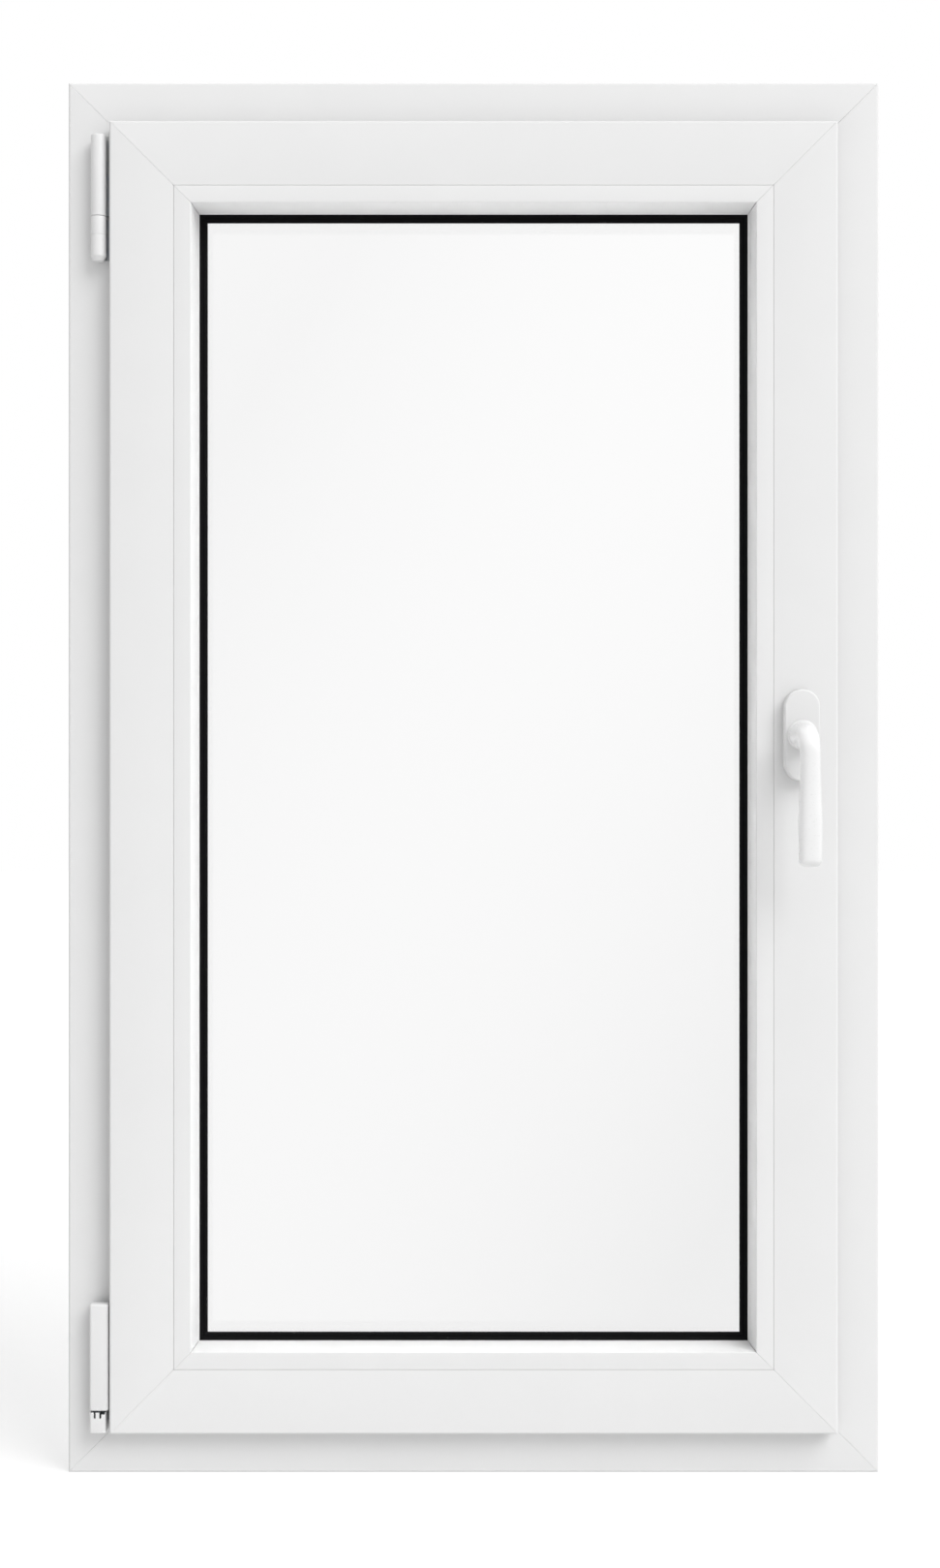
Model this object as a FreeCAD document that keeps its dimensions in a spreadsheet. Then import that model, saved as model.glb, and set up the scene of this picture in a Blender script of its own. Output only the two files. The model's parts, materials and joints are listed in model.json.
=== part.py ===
import FreeCAD, Part
import math
import os
import re
import Sketcher

# A tilt-and-turn casement window in white profiles, drawn closed.
# X runs to the right seen from the room, +Y runs out to the weather, +Z is up.
# The origin is the middle of the frame's bottom face.

SIZES = [
    ("frame_width", 700, "outer width of the fixed frame"),
    ("frame_height", 1200, "outer height of the fixed frame"),
    ("frame_depth", 70, "depth of the fixed frame"),
    ("frame_face", 45, "width of the frame's room face"),
    ("frame_sight", 38, "frame width that shows beside the closed sash"),
    ("frame_stop", 65, "width of the frame out to the edge of its weather lip"),
    ("lip_thickness", 16, "thickness of the frame's weather lip"),
    ("weather_gap", 4, "gap between the sash and the weather lip"),
    ("skin", 3, "outer wall of the hollow profiles"),
    ("web", 2, "inner wall of the hollow profiles"),
    ("sash_proud", 18.4, "how far the sash stands in front of the frame"),
    ("overlap_gap", 3, "gap between the frame's face and the sash overlap"),
    ("overlap", 18, "width of the sash overlap"),
    ("bead_line", 55, "sash width out to the joint with the glazing bead"),
    ("bead_flat", 15, "flat width of a glazing bead"),
    ("bead_foot", 19.5, "width of a glazing bead where it meets the seal"),
    ("bead_back", 6, "depth of the bead's back below the frame's room face"),
    ("glazing_stop", 21, "height of the sash's weather glazing stop"),
    ("glass_edge", 5, "clearance round the glass unit"),
    ("glass_set", 9, "depth of the glass below the frame's room face"),
    ("pane", 4, "thickness of one glass pane"),
    ("cavity", 16, "gap between the two panes"),
    ("seal_sight", 26.5, "distance from the bead joint to the seal's inner edge"),
    ("hardware_set", 10, "depth of the hardware line below the frame's room face"),
    ("groove_width", 12, "width of the hardware groove"),
    ("groove_bottom", 32, "distance from the sash edge to the groove's bottom"),
    ("plate_front", 17, "distance from the sash edge to the faceplates' front"),
    ("plate_thickness", 2, "thickness of the faceplates"),
    ("plate_width", 16, "width of the faceplates"),
    ("rod_thickness", 2.5, "thickness of a drive rod"),
    ("rod_width", 10, "width of a drive rod"),
    ("running_gap", 0.3, "gap between pieces that slide past each other"),
    ("handle_height", 636, "height of the handle axis"),
    ("backset", 15, "distance from the faceplate's front to the handle axis"),
    ("tooth_pitch", 6, "pitch of the rack that the handle drives"),
    ("handle_travel", 36, "travel of the drive rods for half a turn of the handle"),
    ("cam_radius", 3.5, "radius of a locking cam"),
    ("cam_height", 6.5, "how far a cam stands out of the faceplate"),
    ("lower_cam", 300, "height of the lower cam of the side rod, locked"),
    ("upper_cam", 1030, "height of the upper cam of the side rod, locked"),
    ("top_cam", 170, "distance of the top rod's cam from the middle, locked"),
    ("tilt_cam", 236, "distance of the bottom rod's cam from the middle, locked"),
    ("hinge_out", 10.5, "distance from the sash edge to the hinge axis"),
    ("hinge_front", 9, "distance from the frame's room face to the hinge axis"),
    ("tilt_height", 44, "height of the tilt axis"),
    ("barrel_radius", 5, "radius of the hinge barrels"),
    ("cover_radius", 6.7, "radius of the hinge covers"),
    ("stay_length", 317.5, "length of the stay arm from hinge axis to stud"),
    ("screw_spacing", 43, "spacing of the two handle screws"),
    ("fixing_spacing", 385, "spacing of the frame's wall fixing holes"),
    ("fixing_radius", 3.1, "radius of the wall fixing holes"),
    ("front_web", 18, "distance from the frame's room face to its front web"),
    ("rear_web", 6, "distance from the weather lip's face to the frame's rear web"),
    ("tube_wall", 1.5, "wall of the steel tubes"),
    ("tube_play", 0.5, "gap between a steel tube and its chamber"),
    ("frame_tube_end", 50, "how far the frame's tubes stop short of its corners"),
    ("sash_tube_end", 60, "how far the sash's tubes stop short of its corners"),
    ("drain_length", 30, "length of a drainage slot"),
    ("hood_place", 135, "distance of a drainage cap's middle from the window's middle"),
    ("hood_half", 21, "half length of a drainage cap"),
    ("bead_wall", 1.5, "wall of a glazing bead"),
    ("seal_back", 8, "distance from the bead joint to the back of the glazing seals"),
    ("lip_rest", 0.8, "thickness of a glazing seal at its thin edge"),
    ("spacer_back", 4, "distance from the glass edge to the spacer"),
    ("spacer_front", 11, "distance from the glass edge to the spacer's sight edge"),
    ("block_half", 50, "half length of a glazing block"),
    ("bearing_half", 6.2, "half width of the lower bearing"),
    ("socket_radius", 5, "radius of the lower bearing's socket"),
    ("ball_radius", 3.4, "radius of the ball at the foot of the lower hinge pin"),
    ("ball_play", 0.05, "radial gap between the ball and its liner"),
    ("pin_radius", 1.9, "radius of the lower hinge pin"),
    ("pin_high", 90, "top of the lower hinge pin"),
    ("box_half", 7, "half width of the lower hinge's covers"),
    ("cover_reach", 9.3, "how far the lower hinge's cover reaches towards the sash from the hinge axis"),
    ("box_wall", 1.6, "wall of the lower hinge's cover"),
    ("box_shell", 0.75, "side wall of the lower bearing's cap"),
    ("cap_high", 55.6, "top of the lower bearing's cap"),
    ("cap_slot_low", 50.6, "bottom of the two slots in the lower bearing's cap"),
    ("lower_cover_low", 57, "bottom of the lower hinge's cover"),
    ("lower_cover_high", 148.5, "top of the lower hinge's cover"),
    ("lower_leaf_low", 62, "bottom of the lower hinge's leaf"),
    ("lower_leaf_high", 146, "top of the lower hinge's leaf"),
    ("leaf_half", 1.8, "half thickness of the neck between a barrel and its leaf"),
    ("strap", 2.2, "thickness of the hinge straps in the rebate"),
    ("bearing_leaf_low", 46, "bottom of the lower bearing's leaf"),
    ("bearing_leg_high", 110, "top of the lower bearing's strap"),
    ("upper_low", 1043.6, "bottom of the upper bearing's cover"),
    ("upper_joint", 1081.9, "top of the upper bearing's cover"),
    ("knuckle_low", 1082.3, "bottom of the stay knuckle's cover"),
    ("knuckle_high", 1152.4, "top of the stay knuckle's cover"),
    ("stay_pin", 3, "radius of the upper hinge pin"),
    ("arm_low", 1149.5, "underside of the stay arm"),
    ("arm_high", 1152.5, "top of the stay arm"),
    ("arm_half", 6, "half width of the stay arm"),
    ("stud_radius", 2.5, "radius of the stay arm's stud"),
    ("keeper_plate", 2.5, "thickness of a keeper's plate"),
    ("keeper_rib", 7.8, "height of a keeper's rib and lip"),
    ("keeper_half", 34, "half length of a keeper"),
    ("keeper_shift", 18, "how far a keeper's middle lies from its cam"),
    ("tilt_rib", 8.5, "height of the tilt keeper's two ribs"),
    ("small_head", 2.8, "radius of a keeper screw's head"),
    ("small_shank", 1.6, "radius of a keeper screw's shank"),
    ("hinge_head", 3.4, "radius of a hinge screw's head"),
    ("hinge_shank", 2, "radius of hinge and faceplate screws"),
    ("screw_length", 16, "length of a faceplate screw"),
    ("lock_plate_low", 130, "bottom of the lock faceplate"),
    ("lock_plate_high", 1060, "top of the lock faceplate"),
    ("rail_end", 255, "lock side end of the top and bottom faceplates"),
    ("rail_start", 290, "distance of the stay rail's hinge side end from the middle"),
    ("drive_depth", 12, "depth of the corner drives behind the faceplates"),
    ("case_half", 66, "half height of the gearbox case"),
    ("case_depth", 33, "depth of the gearbox case behind the faceplate's front"),
    ("case_thickness_half", 5.8, "half thickness of the gearbox case"),
    ("pinion_room", 13.2, "radius of the gearbox case's chamber"),
    ("journal_radius", 6, "radius of the pinion's journals"),
    ("square_half", 3.5, "half width of the square spindle"),
    ("window_half", 1.75, "half height of a rack window"),
    ("rose_half", 15.5, "half width of the handle cover"),
    ("rose_centre", 24, "distance from the handle axis to the cover's end centres"),
    ("rose_depth", 11, "how far the handle cover stands out"),
    ("base_half", 13.7, "half width of the handle base"),
    ("base_centre", 24.2, "distance from the handle axis to the base's end centres"),
    ("base_depth", 8.5, "thickness of the handle base"),
    ("neck_radius", 13, "radius of the lever's neck at the cover"),
    ("stem_radius", 10, "radius of the lever's stem in the base"),
    ("lever_front", 54, "how far the lever's front stands out from the sash"),
    ("lever_back", 40, "how far the lever's back stands out from the sash"),
    ("lever_top", 8.5, "how far the lever reaches above its axis"),
    ("lever_drop", 111, "how far the lever hangs below its axis"),
    ("lever_half", 8.1, "half width of the lever near its neck"),
]

# Places worked out from the sizes. A name here may be used in any expression below.
PLACES = {
    "room_face": "-frame_depth / 2",
    "outer_face": "frame_depth / 2",
    "lip_face": "outer_face - lip_thickness",
    "rebate_side": "frame_width / 2 - frame_face",
    "rebate_top": "frame_height - frame_face",
    "sash_side": "frame_width / 2 - frame_sight",
    "sash_low": "frame_sight",
    "sash_high": "frame_height - frame_sight",
    "sash_middle": "frame_height / 2",
    "sash_front": "room_face - sash_proud",
    "overlap_back": "room_face - overlap_gap",
    "sash_back": "lip_face - weather_gap",
    "groove_line": "room_face + hardware_set",
    "plate_face": "sash_side - plate_front",
    "plate_back": "plate_face - plate_thickness",
    "rod_face": "plate_back - running_gap",
    "rod_back": "rod_face - rod_thickness",
    "plate_top": "sash_high - plate_front",
    "plate_low": "sash_low + plate_front",
    "handle_side": "plate_face - backset",
    "hinge_side": "-sash_side - hinge_out",
    "hinge_line": "room_face - hinge_front",
    "bead_side": "sash_side - bead_line",
    "glass_room": "room_face + glass_set",
    "glass_gap": "glass_room + pane",
    "glass_far": "glass_gap + cavity",
    "glass_weather": "glass_far + pane",
    "glass_side": "bead_side - glass_edge",
    "glass_low": "sash_low + bead_line + glass_edge",
    "glass_high": "sash_high - bead_line - glass_edge",
    "bead_rear": "room_face + bead_back",
    "leaf_front": "room_face - leaf_half",
    "tilt_place": "tilt_cam - handle_travel",
    "stud_side": "hinge_side + sqrt(stay_length * stay_length - pow(groove_line - hinge_line; 2))",
}

FUNCTIONS = {"sqrt", "pow"}
AXES = {"XY": "XY_Plane", "XZ": "XZ_Plane", "YZ": "YZ_Plane"}

doc = FreeCAD.newDocument("casement_window")
sheet = doc.addObject("Spreadsheet::Sheet", "Sizes")
for row, (alias, value, meaning) in enumerate(SIZES, 1):
    sheet.set(f"A{row}", meaning)
    sheet.set(f"B{row}", str(value))
    sheet.setAlias(f"B{row}", alias)
doc.recompute()
parts = []


def bound(expression):
    """The expression with places written out and each size pointed at the sheet."""

    def one(word):
        name = word[0]
        if name in FUNCTIONS:
            return name
        if name in PLACES:
            return "(" + bound(PLACES[name]) + ")"
        return "Sizes." + name

    return re.sub(r"[a-z][a-z_]*", one, str(expression))


def size(expression):
    """The number that an expression comes to now."""
    return float(sheet.evalExpression(bound(expression)))


# ---- sketches and features ----


def new_body(label):
    """An empty body that will be written under its label."""
    body = doc.addObject("PartDesign::Body", "Body_" + label)
    body.Label = label
    parts.append(body)
    return body


def new_sketch(body, plane, level="0"):
    """A sketch on one of the body's own planes, moved along the plane's normal to a level."""
    sketch = body.newObject("Sketcher::SketchObject", "Sketch")
    origin = [f for f in body.Origin.OriginFeatures if f.Role == AXES[plane]][0]
    sketch.AttachmentSupport = (origin, [""])
    sketch.MapMode = "FlatFace"
    sketch.setExpression("AttachmentOffset.Base.z", bound(level))
    return sketch


def pin_down(sketch, kind, geometry, point, expression):
    """Fix one coordinate of a sketch point to an expression."""
    name = sketch.addConstraint(
        Sketcher.Constraint(kind, -1, 1, geometry, point, size(expression))
    )
    sketch.setExpression(f"Constraints[{name}]", bound(expression))


def draw(sketch, outline):
    """Add an outline: a list of corners, or ("circle", x, y, radius), or ("slot", x, low, high, radius)."""
    first = sketch.GeometryCount
    if outline[0] == "circle":
        _, x, y, radius = outline
        centre = FreeCAD.Vector(size(x), size(y), 0)
        sketch.addGeometry(Part.Circle(centre, FreeCAD.Vector(0, 0, 1), size(radius)))
        pin_down(sketch, "DistanceX", first, 3, x)
        pin_down(sketch, "DistanceY", first, 3, y)
        name = sketch.addConstraint(Sketcher.Constraint("Radius", first, size(radius)))
        sketch.setExpression(f"Constraints[{name}]", bound(radius))
        return
    if outline[0] == "slot":
        draw_slot(sketch, first, *outline[1:])
        return
    corners = [FreeCAD.Vector(size(x), size(y), 0) for x, y in outline]
    count = len(corners)
    lines = [Part.LineSegment(corners[i], corners[(i + 1) % count]) for i in range(count)]
    sketch.addGeometry(lines, False)
    for i, (x, y) in enumerate(outline):
        following = first + (i + 1) % count
        sketch.addConstraint(Sketcher.Constraint("Coincident", first + i, 2, following, 1))
        pin_down(sketch, "DistanceX", first + i, 1, x)
        pin_down(sketch, "DistanceY", first + i, 1, y)


def draw_slot(sketch, first, x, low, high, radius):
    """An upright slot: two half circles centred at low and high, joined by two lines."""
    wide, bottom, top, middle = size(radius), size(low), size(high), size(x)
    up = FreeCAD.Vector(0, 0, 1)
    lower = Part.Circle(FreeCAD.Vector(middle, bottom, 0), up, wide)
    upper = Part.Circle(FreeCAD.Vector(middle, top, 0), up, wide)
    sketch.addGeometry(
        [
            Part.ArcOfCircle(lower, math.pi, 2 * math.pi),
            Part.LineSegment(
                FreeCAD.Vector(middle + wide, bottom, 0), FreeCAD.Vector(middle + wide, top, 0)
            ),
            Part.ArcOfCircle(upper, 0, math.pi),
            Part.LineSegment(
                FreeCAD.Vector(middle - wide, top, 0), FreeCAD.Vector(middle - wide, bottom, 0)
            ),
        ],
        False,
    )
    for arc, point, line, end in ((0, 2, 1, 1), (2, 1, 1, 2), (2, 2, 3, 1), (0, 1, 3, 2)):
        sketch.addConstraint(
            Sketcher.Constraint("Tangent", first + arc, point, first + line, end)
        )
    for arc, level in ((0, low), (2, high)):
        pin_down(sketch, "DistanceX", first + arc, 3, x)
        pin_down(sketch, "DistanceY", first + arc, 3, level)
    name = sketch.addConstraint(Sketcher.Constraint("Radius", first, wide))
    sketch.setExpression(f"Constraints[{name}]", bound(radius))


def solid(body, plane, outlines, low, high):
    """Pad outlines between two levels along the plane's own axis: XY along Z, XZ along Y, YZ along X."""
    start = f"-({high})" if plane == "XZ" else low
    sketch = new_sketch(body, plane, start)
    for outline in outlines:
        draw(sketch, outline)
    pad = body.newObject("PartDesign::Pad", "Pad")
    pad.Profile = sketch
    pad.setExpression("Length", bound(f"({high}) - ({low})"))
    doc.recompute()


def cut(body, plane, outlines, low, high):
    """Pocket outlines between two levels, and make sure that material went."""
    before = body.Shape.Volume
    start = f"-({low})" if plane == "XZ" else high
    sketch = new_sketch(body, plane, start)
    for outline in outlines:
        draw(sketch, outline)
    pocket = body.newObject("PartDesign::Pocket", "Pocket")
    pocket.Profile = sketch
    pocket.setExpression("Length", bound(f"({high}) - ({low})"))
    doc.recompute()
    if body.Shape.isNull() or body.Shape.Volume >= before:
        raise ValueError(f"a pocket in {body.Label} cuts nothing")


def turned(body, outline, x, y):
    """Revolve an outline of (radius, height) about an upright axis at x, y."""
    sketch = new_sketch(body, "XZ", f"-({y})")
    draw(sketch, [(f"({x}) + ({radius})", height) for radius, height in outline])
    top = size("frame_height")
    line = Part.LineSegment(FreeCAD.Vector(size(x), 0, 0), FreeCAD.Vector(size(x), top, 0))
    number = sketch.addGeometry(line, True)
    for point, height in ((1, "0"), (2, "frame_height")):
        pin_down(sketch, "DistanceX", number, point, x)
        pin_down(sketch, "DistanceY", number, point, height)
    revolve(body, sketch)


def revolve(body, sketch):
    """A full turn of a sketch about its own construction line."""
    feature = body.newObject("PartDesign::Revolution", "Turned")
    feature.Profile = sketch
    feature.ReferenceAxis = (sketch, ["Axis0"])
    feature.Angle = 360
    doc.recompute()


def ring(label, outline, half_width, low, high):
    """Carry a profile round a rectangle. The profile is (distance in from the rectangle, Y)."""
    body = new_body(label)
    path = new_sketch(body, "XZ")
    draw(path, box(f"-({half_width})", low, half_width, high))
    profile = new_sketch(body, "XY", "sash_middle")
    draw(profile, [(f"-({half_width}) + ({inward})", depth) for inward, depth in outline])
    pipe = body.newObject("PartDesign::AdditivePipe", "Pipe")
    pipe.Profile = profile
    pipe.Spine = (path, ["Edge1", "Edge2", "Edge3", "Edge4"])
    pipe.Transition = "Right corner"
    doc.recompute()
    return body


def box(x_low, y_low, x_high, y_high):
    """A rectangle as an outline."""
    return [(x_low, y_low), (x_high, y_low), (x_high, y_high), (x_low, y_high)]


def around(middle, half):
    """The two ends of a span about its middle."""
    return f"({middle}) - ({half})", f"({middle}) + ({half})"


def round_edges(body, radius, wanted):
    """Fillet the edges of the body's tip that a test picks."""
    tip = body.Tip
    names = [f"Edge{i + 1}" for i, edge in enumerate(tip.Shape.Edges) if wanted(edge)]
    fillet = body.newObject("PartDesign::Fillet", "Fillet")
    fillet.Base = (tip, names)
    fillet.setExpression("Radius", bound(radius))
    doc.recompute()


def front_edge(level):
    """A test for edges that lie wholly at one Y."""
    place = size(level)
    return lambda e: abs(e.BoundBox.YMin - place) < 0.01 and abs(e.BoundBox.YMax - place) < 0.01


# ---- hollow profile bars, mitred at both ends ----

SIDES = {
    "hinge": (0, "-({out})", "({middle})"),
    "lock": (180, "({out})", "({middle})"),
    "top": (90, "0", "({high})"),
    "bottom": (-90, "0", "({low})"),
}


def bar(label, side, outlines, out, low, high, reach):
    """One side of a mitred rectangle, padded along its length. Outlines are (distance in, Y)."""
    body = new_body(label)
    upright = side in ("hinge", "lock")
    length = f"({high}) - ({low})" if upright else f"2 * ({out})"
    half = f"({length}) / 2"
    solid(body, "XY", outlines, f"-{half}", half)
    for sign in ("", "-"):
        tip, inner = f"{sign}({half} + 1)", f"{sign}({half} - ({reach}) - 1)"
        corner = [("-1", tip), (f"({reach}) + 1", tip), (f"({reach}) + 1", inner)]
        cut(body, "XZ", [corner], "sash_front - 1", "outer_face + 1")
    angle, x, z = SIDES[side]
    body.Placement = FreeCAD.Placement(
        FreeCAD.Vector(0, 0, 0), FreeCAD.Rotation(FreeCAD.Vector(0, 1, 0), angle)
    )
    words = {"out": out, "low": low, "high": high, "middle": f"(({low}) + ({high})) / 2"}
    body.setExpression("Placement.Base.x", bound(x.format(**words)))
    body.setExpression("Placement.Base.z", bound(z.format(**words)))
    doc.recompute()
    return body


def frame_outlines():
    """The frame profile and its three chambers."""
    outer = [
        ("0", "room_face"),
        ("frame_face", "room_face"),
        ("frame_face", "lip_face"),
        ("frame_stop", "lip_face"),
        ("frame_stop", "outer_face"),
        ("0", "outer_face"),
    ]
    inside = "frame_face - skin"
    room_chamber = box("skin", "room_face + skin", inside, "room_face + front_web")
    steel_chamber = box("skin", "room_face + front_web + web", inside, "lip_face - rear_web")
    lip_chamber = [
        ("skin", "lip_face - rear_web + web"),
        (inside, "lip_face - rear_web + web"),
        (inside, "lip_face + skin"),
        ("frame_stop - skin", "lip_face + skin"),
        ("frame_stop - skin", "outer_face - skin"),
        ("skin", "outer_face - skin"),
    ]
    return [outer, room_chamber, steel_chamber, lip_chamber]


def frame_bars():
    """Two jambs with wall fixing holes, the head, and the sill with drainage slots."""
    limits = ("frame_width / 2", "0", "frame_height", "frame_stop")
    for label, side in (
        ("frame_jamb_hinge_side", "hinge"),
        ("frame_jamb_lock_side", "lock"),
        ("frame_head", "top"),
        ("frame_sill", "bottom"),
    ):
        body = bar(label, side, frame_outlines(), *limits)
        if side in ("hinge", "lock"):
            holes = [
                ("circle", "0", f"{step} * fixing_spacing", "fixing_radius") for step in (-1, 0, 1)
            ]
            cut(body, "YZ", holes, "-1", "frame_face + 1")
        if side == "bottom":
            slots = [
                box("lip_face - 12", place, "lip_face - 7", f"{place} + drain_length")
                for place in (-200, 170)
            ]
            cut(body, "YZ", slots, "frame_face - skin - 1", "frame_face + 1")
            vents = [box("20", place, "25", f"{place} + drain_length") for place in (-150, 120)]
            cut(body, "XZ", vents, "outer_face - skin - 1", "outer_face + 1")


def steel_tubes(label, plane_boxes):
    """Square cut steel tubes that stiffen the hollow bars, one solid for each length."""
    body = new_body(label)
    for plane, (x_low, y_low, x_high, y_high), low, high in plane_boxes:
        hollow = box(
            f"({x_low}) + tube_wall",
            f"({y_low}) + tube_wall",
            f"({x_high}) - tube_wall",
            f"({y_high}) - tube_wall",
        )
        solid(body, plane, [box(x_low, y_low, x_high, y_high), hollow], low, high)
    return body


def frame_reinforcements():
    """Four steel tubes in the frame's middle chamber, drilled for the wall fixings."""
    near, far = "skin + tube_play", "frame_face - skin - tube_play"
    front, back = "room_face + front_web + web + tube_play", "lip_face - rear_web - tube_play"
    side = "frame_width / 2"
    upright = ("frame_tube_end", "frame_height - frame_tube_end")
    level = (f"-{side} + frame_tube_end", f"{side} - frame_tube_end")
    above = (front, f"frame_height - ({far})", back, f"frame_height - ({near})")
    body = steel_tubes(
        "frame_reinforcements",
        [
            ("XY", (f"{side} - ({far})", front, f"{side} - ({near})", back), *upright),
            ("XY", (f"-{side} + {near}", front, f"-{side} + {far}", back), *upright),
            ("YZ", (front, near, back, far), *level),
            ("YZ", above, *level),
        ],
    )
    holes = [
        ("circle", "0", f"frame_height / 2 + {step} * fixing_spacing", "fixing_radius")
        for step in (-1, 0, 1)
    ]
    cut(body, "YZ", holes, f"-{side}", f"{side}")


def drainage_caps():
    """Two hooded caps over the drainage slots in the sill's weather face."""
    body = new_body("drainage_caps")
    for place in ("-hood_place", "hood_place"):
        x_low, x_high = around(place, "hood_half")
        solid(body, "XZ", [box(x_low, "18", x_high, "27")], "outer_face", "outer_face + 3")
    mouths = []
    for place in ("-hood_place", "hood_place"):
        x_low, x_high = around(place, "hood_half - 3")
        mouths.append(box(x_low, "16", x_high, "25.5"))
    cut(body, "XZ", mouths, "outer_face - 1", "outer_face + 2")


# ---- sash bars, beads and glass ----


def sash_outlines():
    """The sash profile with its hardware groove and three chambers."""
    low, high = around("groove_line", "groove_width / 2")
    seat_low, seat_high = around("groove_line", "plate_width / 2 + 0.2")
    seat = "plate_front + plate_thickness"
    top = "bead_line + glazing_stop"
    outer = [
        ("0", "sash_front"),
        ("bead_line", "sash_front"),
        ("bead_line", "glass_weather + skin"),
        (top, "glass_weather + skin"),
        (top, "sash_back"),
        ("overlap", "sash_back"),
        ("overlap", seat_high),
        (seat, seat_high),
        (seat, high),
        ("groove_bottom", high),
        ("groove_bottom", low),
        (seat, low),
        (seat, seat_low),
        ("overlap", seat_low),
        ("overlap", "overlap_back"),
        ("0", "overlap_back"),
    ]
    inside = "bead_line - skin"
    front_chamber = box("skin", "sash_front + skin", inside, "overlap_back - skin")
    steel_chamber = box("groove_bottom + skin", "overlap_back", inside, "glass_weather + skin")
    weather_chamber = [
        ("overlap + skin", f"{high} + 2 * skin"),
        ("groove_bottom", f"{high} + 2 * skin"),
        ("groove_bottom", "glass_weather + 2 * skin"),
        (f"{top} - skin", "glass_weather + 2 * skin"),
        (f"{top} - skin", "sash_back - skin"),
        ("overlap + skin", "sash_back - skin"),
    ]
    return [outer, front_chamber, steel_chamber, weather_chamber]


def sash_bars():
    """The four sash bars. The lock stile is routed for the gearbox, spindle and handle screws."""
    limits = ("sash_side", "sash_low", "sash_high", "bead_line + glazing_stop")
    for label, side in (
        ("sash_stile_hinge_side", "hinge"),
        ("sash_stile_lock_side", "lock"),
        ("sash_top_rail", "top"),
        ("sash_bottom_rail", "bottom"),
    ):
        body = bar(label, side, sash_outlines(), *limits)
        if side != "lock":
            continue
        # this bar is turned over, so heights run downwards in its own frame
        axis, reach = "-(handle_height - sash_middle)", "plate_front + backset"
        low, high = around(axis, "case_half + 1")
        front, back = around("groove_line", "groove_width / 2")
        cut(body, "YZ", [box(front, low, back, high)], "groove_bottom - 1", "bead_line - 4")
        holes = [("circle", reach, axis, "6.5")]
        for sign in ("-", "+"):
            holes.append(("circle", reach, f"{axis} {sign} screw_spacing / 2", "2.7"))
        cut(body, "XZ", holes, "sash_front - 1", front)


def sash_reinforcements():
    """Steel tubes in the sash's middle chamber. The lock stile's is in two lengths, round the gearbox."""
    near, far = "groove_bottom + skin + tube_play", "bead_line - skin - tube_play"
    front, back = "overlap_back + tube_play", "glass_weather + skin - tube_play"
    low, high = "sash_low + sash_tube_end", "sash_high - sash_tube_end"
    level = ("-sash_side + sash_tube_end", "sash_side - sash_tube_end")
    right = (f"sash_side - ({far})", front, f"sash_side - ({near})", back)
    left = (f"-sash_side + {near}", front, f"-sash_side + {far}", back)
    below = (front, f"sash_low + {near}", back, f"sash_low + {far}")
    above = (front, f"sash_high - ({far})", back, f"sash_high - ({near})")
    steel_tubes(
        "sash_reinforcements",
        [
            ("XY", left, low, high),
            ("XY", right, low, "handle_height - case_half - 4"),
            ("XY", right, "handle_height + case_half + 4", high),
            ("YZ", below, *level),
            ("YZ", above, *level),
        ],
    )


def glazing_beads():
    """Four hollow mitred beads that hold the glass from the room side."""
    outer = [
        ("0", "sash_front"),
        ("bead_flat", "sash_front"),
        ("bead_foot", "bead_rear"),
        ("0", "bead_rear"),
    ]
    chamber = [
        ("bead_wall", "sash_front + bead_wall"),
        ("bead_flat - bead_wall", "sash_front + bead_wall"),
        ("bead_foot - 1.3 * bead_wall", "bead_rear - bead_wall"),
        ("bead_wall", "bead_rear - bead_wall"),
    ]
    limits = ("bead_side", "sash_low + bead_line", "sash_high - bead_line", "bead_foot")
    for label, side in (
        ("glazing_bead_left", "hinge"),
        ("glazing_bead_right", "lock"),
        ("glazing_bead_top", "top"),
        ("glazing_bead_bottom", "bottom"),
    ):
        bar(label, side, [outer, chamber], *limits)


def glass_unit():
    """Two panes, the spacer between them and the sealant round its back."""
    pane = box("-(glass_side)", "glass_low", "glass_side", "glass_high")
    for label, near, far in (
        ("glass_pane_room", "glass_room", "glass_gap"),
        ("glass_pane_weather", "glass_far", "glass_weather"),
    ):
        solid(new_body(label), "XZ", [pane], near, far)
    limits = ("glass_side", "glass_low", "glass_high")
    ring("glass_spacer", box("spacer_back", "glass_gap", "spacer_front", "glass_far"), *limits)
    ring("glass_edge_sealant", box("0", "glass_gap", "spacer_back", "glass_far"), *limits)


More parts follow.
